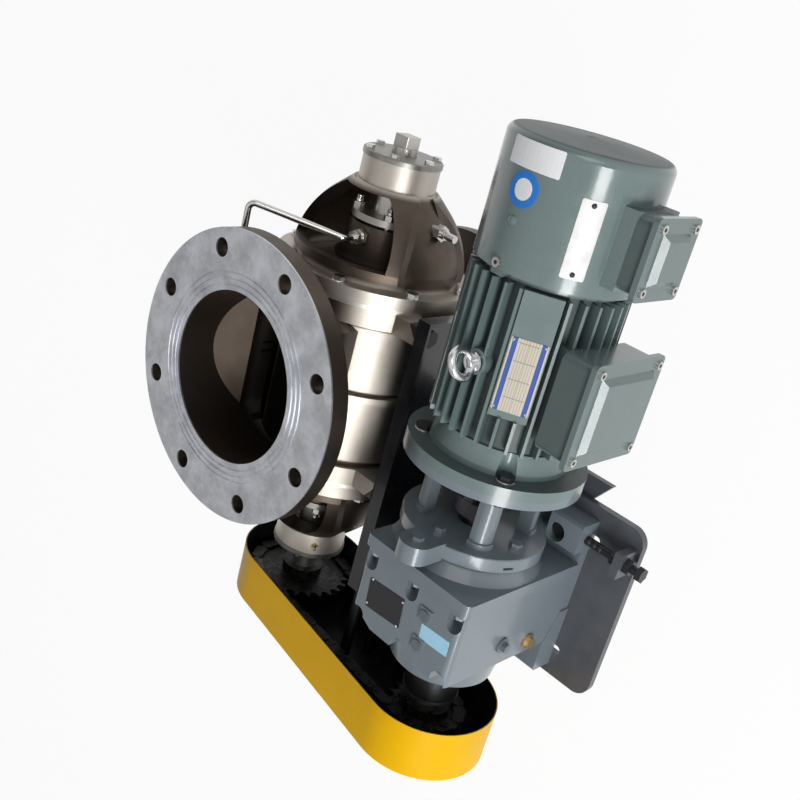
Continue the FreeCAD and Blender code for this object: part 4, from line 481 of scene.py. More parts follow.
def guard_finish(settings):
    """Yellow enamel outside the chain guard, and black paint darkened to near-black as painted
    shade inside, split along its stadium outline.
    """
    f = Finish("guard_enamel")
    colour = settings.guard_yellow
    x, y, z = f.coordinates()
    run = Vector((OUTPUT_Y, OUTPUT_Z - SHAFT_Z))
    length = run.length
    run = run / length
    z = z - SHAFT_Z
    along = (y * run.x + z * run.y).larger(0.0).smaller(length)
    distance = hypotenuse(y - along * run.x, z - along * run.y)
    middle = GUARD_R - GUARD_WALL / 2
    outside = distance.above(middle - 0.0001, middle + 0.0001)
    outside = outside.larger(x.below(GUARD_FAR_X + 0.0001, GUARD_FAR_X + 0.0003))
    waves = f.noise(14, 3.0)
    peel = f.noise(260, 2.0, 0.4)
    grime_and_painted_shade = f.noise(40, 5.0, 0.7).above(0.60, 0.80)
    yellow = f.mix(waves, shade(colour, 0.86), shade(colour, 1.08))
    yellow = f.mix(grime_and_painted_shade * 0.25, yellow, (0.50, 0.31, 0.04))
    nicks = f.specks(46, 0.09) * f.noise(9, 2.0).above(0.56, 0.62)
    yellow = f.mix(nicks * 0.8, yellow, (0.92, 0.74, 0.36))
    # Inside: black paint darkened to near-black as painted shade, with oily patches.
    oil = f.noise(90, 4.0).above(0.45, 0.65)
    black = f.mix(oil, (0.0035, 0.0035, 0.004), (0.009, 0.009, 0.008))
    base = f.mix(outside, black, yellow)
    rough = f.blend(outside, 0.42 + oil * 0.2, 0.36 + waves * 0.08 + grime_and_painted_shade * 0.25)
    normal = f.bump(peel * 0.4 + waves * 0.8, 0.00018)
    f.done(base, rough, 0.0, normal, specular_ior_level=0.16)


def oily_steel(name, colour, grease=0.6):
    """Dark steel of a running chain or gear, wet with old grease."""
    f = Finish(name)
    film = f.noise(150, 4.0, 0.6).above(0.35, 0.7)
    grain = f.noise(800, 2.0)
    base = f.mix(film * grease, colour, (0.012, 0.010, 0.008))
    rough = 0.22 + film * 0.30 + grain * 0.08
    f.done(base, rough, f.blend(film * grease, 1.0, 0.35), f.bump(grain + film, 0.00006))


def rubbery(name, colour, roughness=0.7, scale=500):
    """Rubber, fibre packing and moulded plastic: matt with a fine grain."""
    f = Finish(name)
    grain = f.noise(scale, 3.0, 0.6)
    bloom = f.noise(40, 4.0).above(0.5, 0.8)
    base = f.mix(grain, shade(colour, 0.75), shade(colour, 1.25))
    base = f.mix(bloom * 0.2, base, (0.22, 0.21, 0.20))
    f.done(base, roughness + grain * 0.12, 0.0, f.bump(grain, 0.00010))


def copper_winding():
    """Lacquered copper wire wound round the stator's teeth."""
    f = Finish("lacquered_winding")
    x = f.coordinates()[0]
    wires = (f.streaks(x, 900, 1.0) * 3.0 + x * 5200).wave()
    lacquer = f.noise(60, 3.0)
    base = f.mix(lacquer, (0.36, 0.10, 0.035), (0.50, 0.17, 0.06))
    f.done(base, 0.32 + lacquer * 0.2, 0.45, f.bump(wires, 0.00025))


def brushed_plate(name, colour, roughness, metallic):
    """A thin bare plate with brush marks."""
    f = Finish(name)
    brush = f.noise(1500, 3.0, 0.6, stretch=ALONG_X)
    smear = f.noise(55, 4.0)
    base = f.mix(brush, shade(colour, 0.86), shade(colour, 1.08))
    base = f.mix(smear.above(0.5, 0.8) * 0.3, base, shade(colour, 0.62))
    f.done(base, roughness + smear * 0.12, metallic, f.bump(brush, 0.00002))


def banded_plate(colour):
    """The motor's plate: bare metal with a plain blue band along each long edge."""
    f = Finish("banded_plate")
    x, y, z = f.coordinates()
    turn = math.radians(PAD_DEGREES)
    side = ((y - MOTOR_Y) * math.cos(turn) + (z - MOTOR_Z) * math.sin(turn)).size()
    band = side.band(0.0118, 0.0121, 0.0168, 0.0171)
    brush = f.noise(1500, 3.0, 0.6, stretch=ALONG_X)
    base = f.mix(brush, shade(colour, 0.86), shade(colour, 1.08))
    rows = (side * 2300).wave().above(0.80, 0.95)
    columns = (x * 330).wave().above(0.985, 0.995)
    field = side.below(0.0106, 0.0108)
    base = f.mix(rows.larger(columns) * field * 0.75, base, (0.13, 0.115, 0.09))
    base = f.mix(band, base, (0.015, 0.07, 0.30))
    f.done(base, 0.42 + brush * 0.1, (1 - band) * 0.35, f.bump(brush, 0.00002))


def plug_finish(paint_colour):
    """Plugs painted over with the gear unit, and the level plug left bare brass."""
    f = Finish("plug_finish")
    z = f.coordinates()[2]
    brass = z.below(LEVEL_PLUG_TOP, LEVEL_PLUG_TOP + 0.001)
    cloud = f.noise(130, 3.0)
    metal = f.mix(cloud, (0.42, 0.30, 0.14), (0.74, 0.58, 0.34))
    painted = f.mix(cloud, shade(paint_colour, 0.55), shade(paint_colour, 0.95))
    base = f.mix(brass, painted, metal)
    f.done(base, 0.24 + cloud * 0.14, brass, f.bump(cloud, 0.00006))


def label_stock(name, colour):
    """Glossy film label without any print, slightly rippled."""
    f = Finish(name)
    ripple = f.noise(90, 2.0)
    yellowing = f.noise(30, 3.0)
    base = f.mix(yellowing, shade(colour, 0.93), shade(colour, 1.04))
    f.done(base, 0.30 + ripple * 0.12, 0.0, f.bump(ripple, 0.00025))


FINISHED = {
    "bearing_steel": "rotor_bearings drive_bearings",
    "black_fastener": (
        "guard_nuts bracket_bolts base_plate_bolts foot_bolts motor_flange_bolts"
        " tension_screw tension_nuts"
    ),
    "blackened_steel": "guard_stays output_seal_housing",
    "body_casting": "valve_body",
    "box_enamel": "terminal_box fan_terminal_box",
    "bracket_black": "bracket_back_plate",
    "braided_packing": "packing_rings",
    "bright_fastener": (
        "cover_bolts bearing_cap_bolts gland_studs purge_fittings cowl_screws lid_screws"
    ),
    "cap_steel": "free_bearing_cap drive_bearing_cap gland_followers",
    "chain_steel": "roller_chain",
    "coupling_iron": "input_coupling_half motor_coupling_half",
    "cover_casting": "free_end_cover drive_end_cover",
    "cowl_enamel": "fan_cowl",
    "fan_plastic": "cooling_fan",
    "gear_steel": "output_gear middle_shaft middle_gear",
    "guard_enamel": "chain_guard",
    "lacquered_winding": "stator",
    "lid_enamel": "terminal_box_lid fan_terminal_lid",
    "motor_enamel": "motor_flange motor_frame rear_end_shield fan_motor",
    "motor_shaft_steel": "input_shaft motor_shaft",
    "output_steel": "output_shaft",
    "painted_fastener": "gear_unit_bolts",
    "plate_enamel": "bracket_shelf base_plate",
    "plug_finish": "oil_plugs",
    "polished_tube": "purge_tube",
    "rotor_shaft_steel": "rotor_shaft",
    "rotor_steel": "rotor_wheel",
    "sprocket_steel": "driven_sprocket drive_sprocket",
    "unit_enamel": "gear_housing gear_front_plate lifting_lug input_adaptor",
    "zinc_eye": "eye_bolt",
}
FINISH_OF = {node: finish for finish, names in FINISHED.items() for node in names.split()}


def make_finishes(settings):
    """Every material of the valve, by name."""
    cast = tuple(settings.cast_steel)
    green = tuple(settings.motor_green)
    grey = tuple(settings.unit_grey)
    plate = tuple(settings.plate_grey)
    steel = (0.56, 0.54, 0.50)
    warm = (0.52, 0.50, 0.46)
    # Bores, necks, flange backs and grooves of the body are darkened as painted shade.
    cast_steel("body_casting", cast, flange_faces, dark_necks)
    # The bell walls and the face inside the drum are darkened as painted shade.
    cast_steel("cover_casting", cast, about_rotor(0.1120, 0.1165, 0.1026), dark_bells, warm)
    # The caps' turned faces take a dark tone as a painted reflection.
    cap_faces = about_rotor(0.2620, 0.2700)
    cast_steel("cap_steel", shade(steel, 0.80), cap_faces, None, shade(warm, 0.42))
    fastener_steel("bright_fastener", (0.62, 0.61, 0.58), 0.20)
    fastener_steel("painted_fastener", (0.30, 0.34, 0.37), 0.30, 0.5, 0.6)
    fastener_steel("black_fastener", (0.022, 0.022, 0.024), 0.30, 0.5, 0.4)
    fastener_steel("zinc_eye", (0.66, 0.67, 0.68), 0.16)
    fastener_steel("polished_tube", (0.60, 0.59, 0.57), 0.15, 0.15)
    turned_steel("bearing_steel", (0.55, 0.55, 0.56), (0.0, SHAFT_Z), 0.15)
    turned_steel("rotor_shaft_steel", steel, (0.0, SHAFT_Z))
    turned_steel("output_steel", (0.50, 0.49, 0.47), (OUTPUT_Y, OUTPUT_Z), 0.18)
    turned_steel("motor_shaft_steel", (0.42, 0.42, 0.43), (MOTOR_Y, MOTOR_Z), 0.30)
    turned_steel("blackened_steel", (0.060, 0.061, 0.064), (OUTPUT_Y, OUTPUT_Z), 0.28, 0.3)
    # The rotor is the cast colour at a tenth of its brightness, as painted shade inside the drum.
    cast_steel("rotor_steel", shade(cast, 0.10))
    oily_steel("chain_steel", (0.040, 0.038, 0.036), 0.9)
    oily_steel("sprocket_steel", (0.022, 0.022, 0.022), 0.85)
    oily_steel("gear_steel", (0.34, 0.33, 0.31), 0.4)
    # The fin roots and the flange face below them are darkened as painted shade.
    paint("motor_enamel", green, 0.28, 0.8, 0.06, 0.5, fin_roots)
    # The cowl's closed end is darkened as painted shade.
    paint("cowl_enamel", green, 0.20, 0.15, 0.06, 0.6, cowl_end)
    # The lids are a darker copy of the motor paint, as painted shade.
    paint("lid_enamel", shade(green, 0.84), 0.26, 0.4, 0.04, 0.5)
    # The boxes' upward faces are darkened as painted shade.
    paint("box_enamel", green, 0.28, 0.6, 0.0, 0.5, upper_faces)
    paint("unit_enamel", grey, 0.28, 0.6, 0.10, 0.45)
    paint("plate_enamel", plate, 0.36, 0.2, 0.06, 0.2)
    # The plate behind the valve is near-black as painted shade, far darker than the shelf and base
    # plate.
    paint("bracket_black", (0.010, 0.011, 0.014), 0.24, 0.2, 0.05, 0.4)
    paint("coupling_iron", (0.10, 0.10, 0.11), 0.5, 1.0, 0.1, 0.0)
    guard_finish(settings)
    fastener_steel("plug_brass", (0.66, 0.45, 0.18), 0.26, 0.2)
    copper_winding()
    rubbery("braided_packing", (0.30, 0.28, 0.24), 0.8, 260)
    rubbery("fan_plastic", (0.045, 0.047, 0.05), 0.45)
    rubbery("box_gasket", (0.012, 0.012, 0.013), 0.6)
    brushed_plate("bare_alloy", (0.58, 0.585, 0.58), 0.46, 0.35)
    brushed_plate("bare_black_plate", (0.012, 0.012, 0.014), 0.30, 0.0)
    label_stock("blank_label", (0.80, 0.81, 0.83))
    label_stock("blank_blue_label", (0.36, 0.62, 0.80))
    label_stock("blank_deep_blue_label", (0.012, 0.18, 0.62))
    banded_plate((0.47, 0.43, 0.36))
    plug_finish(grey)


# Meshes


def in_scene(name, data):
    """A new object for a mesh, a lamp or a camera."""
    made = bpy.data.objects.new(name, data)
    bpy.context.scene.collection.objects.link(made)
    return made


def add_piece(name, mesh, body, finish):
    """Puts a mesh in the scene, on a CAD body, with a finish."""
    piece = in_scene(name, mesh)
    mesh.materials.clear()
    mesh.materials.append(Finish.known[finish])
    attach(piece, body)
    return piece


def mesh_of(name, bm):
    """A plain mesh from a bmesh, with faces outward."""
    bmesh.ops.remove_doubles(bm, verts=bm.verts, dist=1e-7)
    bmesh.ops.recalc_face_normals(bm, faces=bm.faces)
    mesh = bpy.data.meshes.new(name)
    bm.to_mesh(mesh)
    bm.free()
    return mesh


def smooth_by_angle(mesh, degrees):
    """Smooth faces, with sharp edges where they meet at more than that angle."""
    mesh.shade_smooth()
    mesh.set_sharp_from_angle(angle=math.radians(degrees))


def rounded_outline(width, height, radius, steps=8):
    """Corner points of a rectangle with round corners, about the origin."""
    points = []
    for k, (sx, sy) in enumerate([(1, 1), (-1, 1), (-1, -1), (1, -1)]):
        cx, cy = sx * (width / 2 - radius), sy * (height / 2 - radius)
        for i in range(steps + 1):
            turn = math.radians(90 * k + 90 * i / steps)
            points.append((cx + radius * math.cos(turn), cy + radius * math.sin(turn)))
    return points


def plate_mesh(name, width, height, radius, thickness, bend_r=None, across=1):
    """A thin plate with a bevelled edge, flat or bent round an axis along its width.

    Its underside is at z = 0, or at the bend radius, and it faces +Z."""
    bm = bmesh.new()
    edge = thickness * 0.35
    rings = []
    for inset, z in ((0, 0), (0, thickness - edge), (edge, thickness)):
        outline = rounded_outline(width - 2 * inset, height - 2 * inset, radius - inset)
        rings.append([bm.verts.new((x, y, z)) for x, y in outline])
    for low, high in zip(rings, rings[1:]):
        for i in range(len(low)):
            j = (i + 1) % len(low)
            bm.faces.new((low[i], low[j], high[j], high[i]))
    bm.faces.new(rings[-1])
    bm.faces.new(rings[0][::-1])
    for k in range(1, across):
        y = height * (k / across - 0.5)
        geom = bm.verts[:] + bm.edges[:] + bm.faces[:]
        bmesh.ops.bisect_plane(bm, geom=geom, plane_co=(0, y, 0), plane_no=(0, 1, 0))
    if bend_r:
        for v in bm.verts:
            turn = v.co.y / bend_r
            out = bend_r + v.co.z
            v.co.y, v.co.z = out * math.sin(turn), out * math.cos(turn)
    return mesh_of(name, bm)


def put(mesh, at, x_axis, z_axis):
    """Moves a mesh so that its X and Z run along two directions from a point."""
    z = Vector(z_axis).normalized()
    x = Vector(x_axis)
    x = (x - z * x.dot(z)).normalized()
    y = z.cross(x)
    turn = Matrix((x, y, z)).transposed().to_4x4()
    mesh.transform(Matrix.Translation(at) @ turn)
    return mesh


def outward(degrees):
    """Direction out from an axis along X, turned from +Z towards -Y."""
    turn = math.radians(degrees)
    return Vector((0, -math.sin(turn), math.cos(turn)))


# Geometry Nodes


class Tree(Nodes):
    """A Geometry Nodes tree with named inputs, whole numbers or lengths by their defaults."""

    def __init__(self, name, sizes):
        super().__init__(bpy.data.node_groups.new(name, "GeometryNodeTree"))
        face = self.tree.interface
        face.new_socket("Geometry", in_out="INPUT", socket_type="NodeSocketGeometry")
        face.new_socket("Geometry", in_out="OUTPUT", socket_type="NodeSocketGeometry")
        finish = face.new_socket("Finish", in_out="INPUT", socket_type="NodeSocketMaterial")
        self.identifiers = {"Finish": finish.identifier}
        for label, default in sizes.items():
            kind = "NodeSocketInt" if isinstance(default, int) else "NodeSocketFloat"
            socket = face.new_socket(label, in_out="INPUT", socket_type=kind)
            socket.default_value = default
            self.identifiers[label] = socket.identifier
        self.inputs = self.tree.nodes.new("NodeGroupInput")
        self.output = self.tree.nodes.new("NodeGroupOutput")

    def size(self, label):
        return Value(self, self.inputs.outputs[label])

    def join(self, *parts):
        both = self.tree.nodes.new("GeometryNodeJoinGeometry")
        for part in parts:
            self.feed(both.inputs[0], part)
        return Value(self, both.outputs[0])

    def on_points(self, points, form, way, **sizes):
        """The form on every point, with its Z turned that way."""
        turn = self.node("FunctionNodeAlignRotationToVector", {"axis": "Z"}, {"Vector": way})
        inputs = {"Points": points, "Instance": form, "Rotation": turn, **sizes}
        return self.node("GeometryNodeInstanceOnPoints", inputs=inputs)

    def finish(self, geometry):
        """Ends the tree in Realize Instances and Set Material."""
        real = self.node("GeometryNodeRealizeInstances", inputs={0: geometry})
        inputs = {"Geometry": real, "Material": self.size("Finish")}
        dressed = self.node("GeometryNodeSetMaterial", inputs=inputs)
        self.feed(self.output.inputs[0], dressed)
        return self


def repeat_tree():
    """A turned form, from two stacked frusta, on every point, facing the way it says."""
    tree = Tree("repeat_on_points", frusta(MM, MM, MM, MM, MM))

    def frustum(bottom, top, depth):
        inputs = {
            "Vertices": tree.size("Sides"),
            "Radius Bottom": tree.size(bottom),
            "Radius Top": tree.size(top),
            "Depth": tree.size(depth),
        }
        return tree.node("GeometryNodeMeshCone", {"fill_type": "NGON"}, inputs)

    lower = frustum("Foot Radius", "Waist Radius", "Lower Height")
    upper = frustum("Waist Radius", "Top Radius", "Upper Height")
    lift = tree.node("ShaderNodeCombineXYZ", inputs={"Z": tree.size("Lower Height")})
    raised = tree.node("GeometryNodeTransform", inputs={"Geometry": upper, "Translation": lift})
    facing = tree.node(
        "GeometryNodeInputNamedAttribute", {"data_type": "FLOAT_VECTOR"}, {"Name": "facing"}
    )
    return tree.finish(tree.on_points(tree.size("Geometry"), tree.join(lower, raised), facing))


def thread_tree():
    """A V thread wound about Z, one pitch a turn."""
    sizes = {"Radius": 0.004, "Pitch": 0.00125, "Turns": 8.0, "Depth": 0.0005}
    tree = Tree("thread_on_a_rod", sizes)
    inputs = {
        "Resolution": 20,
        "Rotations": tree.size("Turns"),
        "Start Radius": tree.size("Radius"),
        "End Radius": tree.size("Radius"),
        "Height": tree.size("Pitch") * tree.size("Turns"),
    }
    path = tree.node("GeometryNodeCurveSpiral", inputs=inputs)
    inputs = {"Resolution": 4, "Radius": tree.size("Depth")}
    profile = tree.node("GeometryNodeCurvePrimitiveCircle", {"mode": "RADIUS"}, inputs)
    inputs = {"Curve": path, "Profile Curve": profile, "Fill Caps": True}
    return tree.finish(tree.node("GeometryNodeCurveToMesh", inputs=inputs))


def weld_tree():
    """A weld bead: overlapping flat drops along the edges of the given line."""
    tree = Tree("weld_bead", {"Width": 0.005, "Step": 0.0016, "Seed": 7})
    line = tree.node("GeometryNodeMeshToCurve", inputs={0: tree.size("Geometry")})
    inputs = {"Curve": line, "Length": tree.size("Step")}
    even = tree.node("GeometryNodeResampleCurve", {"mode": "LENGTH"}, inputs)
    inputs = {"Segments": 10, "Rings": 6, "Radius": tree.size("Width")}
    drop = tree.node("GeometryNodeMeshUVSphere", inputs=inputs)
    inputs = {"Geometry": drop, "Scale": (0.5, 0.5, 0.26)}
    shape = tree.node("GeometryNodeTransform", inputs=inputs)
    tangent = tree.node("GeometryNodeInputTangent")
    inputs = {2: 0.88, 3: 1.12, "Seed": tree.size("Seed")}
    size = tree.node("FunctionNodeRandomValue", {"data_type": "FLOAT"}, inputs, output=1)
    return tree.finish(tree.on_points(even, shape, tangent, Scale=size))


def grown(name, tree, mesh, sizes, finish):
    """Runs a tree on a mesh and gives the plain mesh that it makes."""
    source = in_scene(name + "_source", mesh)
    modifier = source.modifiers.new("Grow", "NODES")
    modifier.node_group = tree.tree
    modifier[tree.identifiers["Finish"]] = Finish.known[finish]
    for label, value in sizes.items():
        modifier[tree.identifiers[label]] = value
    seen = source.evaluated_get(bpy.context.evaluated_depsgraph_get())
    made = bpy.data.meshes.new_from_object(seen)
    made.name = name
    bpy.data.objects.remove(source)
    return made


def spots(name, points, facings):
    """A mesh of loose points that say which way each of them faces."""
    mesh = bpy.data.meshes.new(name)
    mesh.from_pydata([tuple(p) for p in points], [], [])
    facing = mesh.attributes.new("facing", "FLOAT_VECTOR", "POINT")
    for i, direction in enumerate(facings):
        facing.data[i].vector = direction
    return mesh


def repeats(name, body, finish, places, sizes, angle=40):
    """Like forms on many places, as one piece. places holds (point, facing) pairs."""
    points, facings = zip(*places)
    mesh = grown(name, repeat_tree(), spots(name, points, facings), sizes, finish)
    smooth_by_angle(mesh, angle)
    return add_piece(name, mesh, body, finish)


def frusta(foot, waist, top, lower, upper, sides=20):
    """Sizes of two stacked frusta: three radii, two heights and the number of sides."""
    return {
        "Foot Radius": foot,
        "Waist Radius": waist,
        "Top Radius": top,
        "Lower Height": lower,
        "Upper Height": upper,
        "Sides": sides,
    }


def dome(radius, height):
    """Sizes of a low domed rivet head."""
    return frusta(radius, radius * 0.92, radius * 0.5, height * 0.45, height * 0.55)


def washer(radius, thickness):
    """Sizes of a flat washer with a chamfered rim."""
    return frusta(radius, radius, radius - thickness * 0.4, thickness * 0.6, thickness * 0.4, 32)


def thread(name, tree, radius, pitch, turns, depth, finish):
    """A thread from the origin along Z."""
    sizes = {"Radius": radius, "Pitch": pitch, "Turns": turns, "Depth": depth}
    return grown(name, tree, spots(name, [(0, 0, 0)], [Z_AXIS]), sizes, finish)


def corners(centre, along, across):
    """Four points round a centre, two vectors away from it."""
    return [centre + along * i + across * j for i in (-1, 1) for j in (-1, 1)]


def solids_of(node):
    """Lowest and highest corner of each separate solid in a CAD node, in metres."""
    bm = bmesh.new()
    bm.from_mesh(nodes[node].data)
    bmesh.ops.remove_doubles(bm, verts=bm.verts, dist=1e-6)
    seen, found = set(), []
    for start in bm.verts:
        if start in seen:
            continue
        seen.add(start)
        stack, members = [start], []
        while stack:
            v = stack.pop()
            members.append(v.co.copy())
            for e in v.link_edges:
                other = e.other_vert(v)
                if other not in seen:
                    seen.add(other)
                    stack.append(other)
        low = Vector([min(c[i] for c in members) for i in range(3)])
        high = Vector([max(c[i] for c in members) for i in range(3)])
        found.append((low, high))
    bm.free()
    return found


# Operators


class AIRLOCK_OT_finishes(bpy.types.Operator):
    """Paint and bare metal on every CAD node"""

    bl_idname = "airlock.finishes"
    bl_label = "Finishes"

    def execute(self, context):
        make_finishes(context.scene.airlock_finish)
        missing = sorted(set(nodes) - set(FINISH_OF))
        if missing:
            raise RuntimeError(f"no finish for {missing}")
        for name, node in nodes.items():
            node.data.materials.clear()
            node.data.materials.append(Finish.known[FINISH_OF[name]])
        return {"FINISHED"}


class AIRLOCK_OT_bare_plates(bpy.types.Operator):
    """Bare plates and blank labels on the cowl, the motor frame and the gear unit"""

    bl_idname = "airlock.bare_plates"
    bl_label = "Bare plates"

    def execute(self, context):
        self.on_gear_unit()
        self.on_motor_frame()
        self.on_cowl()
        return {"FINISHED"}

    def on_gear_unit(self):
        """Black plate with four rivets, and a blank film label beside the plugs."""
        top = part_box("gear_housing")[1].z - PLUG_BOSS
        centre = Vector((-0.1569, -0.2594, top))
        thickness = 0.0006
        mesh = plate_mesh("unit_plate", 0.036, 0.053, 0.002, thickness)
        put(mesh, centre, (1, 0.08, 0), Z_AXIS)
        add_piece("unit_plate", mesh, "drive_unit", "bare_black_plate")
        across = Vector((0, 0.0235, 0))
        places = corners(centre + Z_AXIS * thickness, X_AXIS * 0.0155, across)
        rivets = [(place, Z_AXIS) for place in places]
        repeats("unit_plate_rivets", "drive_unit", "bare_alloy", rivets, dome(0.0014, 0.0009))
        mesh = plate_mesh("unit_label", 0.018, 0.040, 0.001, LABEL_T)
        put(mesh, Vector((-0.1548, -0.3345, top)), (1, 0.06, 0), Z_AXIS)
        add_piece("unit_label", mesh, "drive_unit", "blank_blue_label")

    def on_motor_frame(self):
        """Name plate without words on the flat pad between the fins."""
        out = outward(PAD_DEGREES)
        centre = Vector((0.142, MOTOR_Y, MOTOR_Z)) + out * PAD_R
        thickness = 0.0008
        mesh = plate_mesh("motor_plate", 0.077, 0.038, 0.002, thickness)
        put(mesh, centre, X_AXIS, out)
        add_piece("motor_plate", mesh, "drive_unit", "banded_plate")
        side = out.cross(X_AXIS)
        places = corners(centre + out * thickness, X_AXIS * 0.0355, side * 0.016)
        rivets = [(place, out) for place in places]
        repeats("motor_plate_rivets", "drive_unit", "zinc_eye", rivets, dome(0.0015, 0.001))

    def on_cowl(self):
        """Riveted plate, a blank white label, a plain round one, and a small plug."""
        out = outward(45)
        axis = Vector((0.2868, MOTOR_Y, MOTOR_Z))
        mesh = plate_mesh("cowl_plate", 0.076, 0.024, 0.002, 0.0007, COWL_R, 8)
        put(mesh, axis, X_AXIS, out)
        add_piece("cowl_plate", mesh, "drive_unit", "bare_alloy")
        centre = axis + out * (COWL_R + 0.0006)
        rivets = [(centre + X_AXIS * dx, out) for dx in (-0.033, 0.033)]
        repeats("cowl_plate_rivets", "drive_unit", "black_fastener", rivets, dome(0.0026, 0.0016))
        for name, x, degrees, length, height, corner, lift, finish in (
            ("cowl_label", 0.3455, -1.6, 0.0255, 0.062, 0.0015, 0.0, "blank_label"),
            ("cowl_disc", 0.3140, -2.5, 0.0345, 0.0345, 0.0171, 0.0, "blank_deep_blue_label"),
            ("cowl_disc_middle", 0.3140, -2.5, 0.0205, 0.0205, 0.0101, LABEL_T, "blank_label"),
        ):
            mesh = plate_mesh(name, length, height, corner, LABEL_T, COWL_R + lift, 12)
            put(mesh, Vector((x, MOTOR_Y, MOTOR_Z)), X_AXIS, outward(degrees))
            add_piece(name, mesh, "drive_unit", finish)
        out = outward(-4.0)
        plug = [(Vector((0.2835, MOTOR_Y, MOTOR_Z)) + out * (COWL_R - 0.0002), out)]
        repeats("cowl_plug", "drive_unit", "cowl_enamel", plug, dome(0.0052, 0.0022))


class AIRLOCK_OT_gaskets(bpy.types.Operator):
    """Rubber gaskets between the terminal boxes and their lids"""

    bl_idname = "airlock.gaskets"
    bl_label = "Gaskets"

    def execute(self, context):
        inset = 0.0070
        for name, node in (
            ("motor_box_gasket", "terminal_box_lid"),
            ("fan_box_gasket", "fan_terminal_lid"),
        ):
            low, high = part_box(node)
            size = high - low
            mesh = plate_mesh(name, size.x - inset, size.z - inset, 0.0102, GASKET_T)
            at = (low + high) / 2
            at.y = high.y + GASKET_T * 0.7
            put(mesh, at, X_AXIS, (0, -1, 0))
            add_piece(name, mesh, "drive_unit", "box_gasket")
        return {"FINISHED"}


class AIRLOCK_OT_sockets(bpy.types.Operator):
    """Flat black hexagons on the heads of the lid screws and the cowl screws, painted shade for
    their sockets
    """

    bl_idname = "airlock.sockets"
    bl_label = "Screw sockets"

    def execute(self, context):
        # Each socket is a flat black hexagon: painted shade in place of a recess.
        socket = frusta(0.0023, 0.0023, 0.0021, 0.0001, 0.0001, 6)
        lids = []
        for low, high in solids_of("lid_screws"):
            at = (low + high) / 2
            at.y = low.y
            lids.append((at, (0, -1, 0)))
        repeats("lid_screw_sockets", "drive_unit", "black_fastener", lids, socket)
        low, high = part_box("cowl_screws")
        axis = Vector(((low.x + high.x) / 2, MOTOR_Y, MOTOR_Z))
        cowl = []
        for third in range(3):
            out = outward(COWL_SCREW_DEGREES + 120 * third)
            cowl.append((axis + out * COWL_SCREW_R, out))
        repeats("cowl_screw_sockets", "drive_unit", "black_fastener", cowl, socket)
        return {"FINISHED"}


class AIRLOCK_OT_washers(bpy.types.Operator):
    """Flat washers under the bolt heads and nuts"""

    bl_idname = "airlock.washers"
    bl_label = "Washers"

    def execute(self, context):
        for name, node, body, radius, head in (
            ("motor_flange_washers", "motor_flange_bolts", "drive_unit", 0.0100, 0.0065),
            ("cover_washers", "cover_bolts", "valve", 0.0078, 0.0052),
        ):
            places = []
            for low, high in solids_of(node):
                way = 1 if high.x + low.x > 0 else -1
                top = high.x if way > 0 else low.x
                middle = (low + high) / 2
                places.append((Vector((top - way * head, middle.y, middle.z)), (way, 0, 0)))
            repeats(name, body, "bright_fastener", places, washer(radius, 0.0012))
        return {"FINISHED"}


class AIRLOCK_OT_threads(bpy.types.Operator):
    """Threads on the gland studs and the tension screw"""

    bl_idname = "airlock.threads"
    bl_label = "Threads"

    def execute(self, context):
        tree = thread_tree()
        for side, name in ((1, "free_gland_threads"), (-1, "drive_gland_threads")):
            bm = bmesh.new()
            for low, high in solids_of("gland_studs"):
                if (low.x + high.x) * side < 0:
                    continue
                start = (low + high) / 2
                start.x = (high.x if side > 0 else low.x) - side * 0.0092
                mesh = thread(name, tree, 0.004, 0.00125, 7.0, 0.00045, "bright_fastener")
                bm.from_mesh(put(mesh, start, (0, 1, 0), (side, 0, 0)))
                bpy.data.meshes.remove(mesh)
            mesh = mesh_of(name, bm)
            smooth_by_angle(mesh, 50)
            add_piece(name, mesh, "valve", "bright_fastener")
        low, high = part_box("tension_screw")
        pitch = 0.0015
        # The stretch that the slide draws into the nuts stays bare.
        length = 0.030 - SLIDE - SLIDE_ROOM
        turns = length / pitch
        mesh = thread("tension_thread", tree, 0.005, pitch, turns, 0.00055, "black_fastener")
        start = (low + high) / 2
        start.y = high.y - 0.016 - length
        put(mesh, start, X_AXIS, (0, 1, 0))
        smooth_by_angle(mesh, 50)
        add_piece("tension_thread", mesh, "drive_unit", "black_fastener")
        return {"FINISHED"}


class AIRLOCK_OT_nipples(bpy.types.Operator):
    """Grease nipples on both bearing housings"""

    bl_idname = "airlock.nipples"
    bl_label = "Grease nipples"

    def execute(self, context):
        feet = []
        for x, degrees in ((-NIPPLE_X, 54), (NIPPLE_X, -128)):
            out = outward(degrees)
            feet.append((Vector((x, 0, SHAFT_Z)) + out * BOSS_R, out))
        foot = frusta(0.0042, 0.0040, 0.0022, 0.0040, 0.0016, 6)
        repeats("nipple_feet", "valve", "plug_brass", feet, foot, 20)
        heads = [(at + out * 0.0050, out) for at, out in feet]
        head = frusta(0.0019, 0.0030, 0.0016, 0.0026, 0.0020)
        repeats("nipple_heads", "valve", "zinc_eye", heads, head)
        return {"FINISHED"}


class AIRLOCK_OT_welds(bpy.types.Operator):
    """Weld bead between the shelf and the plate behind the valve"""

    bl_idname = "airlock.welds"
    bl_label = "Welds"

    def execute(self, context):
        low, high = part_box("bracket_shelf")
        seam_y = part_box("bracket_back_plate")[0].y
        inset = 0.006
        line = bpy.data.meshes.new("shelf_seam")
        ends = [(low.x + inset, seam_y, high.z), (high.x - inset, seam_y, high.z)]
        line.from_pydata(ends, [(0, 1)], [])
        mesh = grown("shelf_weld", weld_tree(), line, {"Width": 0.0055}, "plate_enamel")
        smooth_by_angle(mesh, 60)
        add_piece("shelf_weld", mesh, "valve", "plate_enamel")
        return {"FINISHED"}


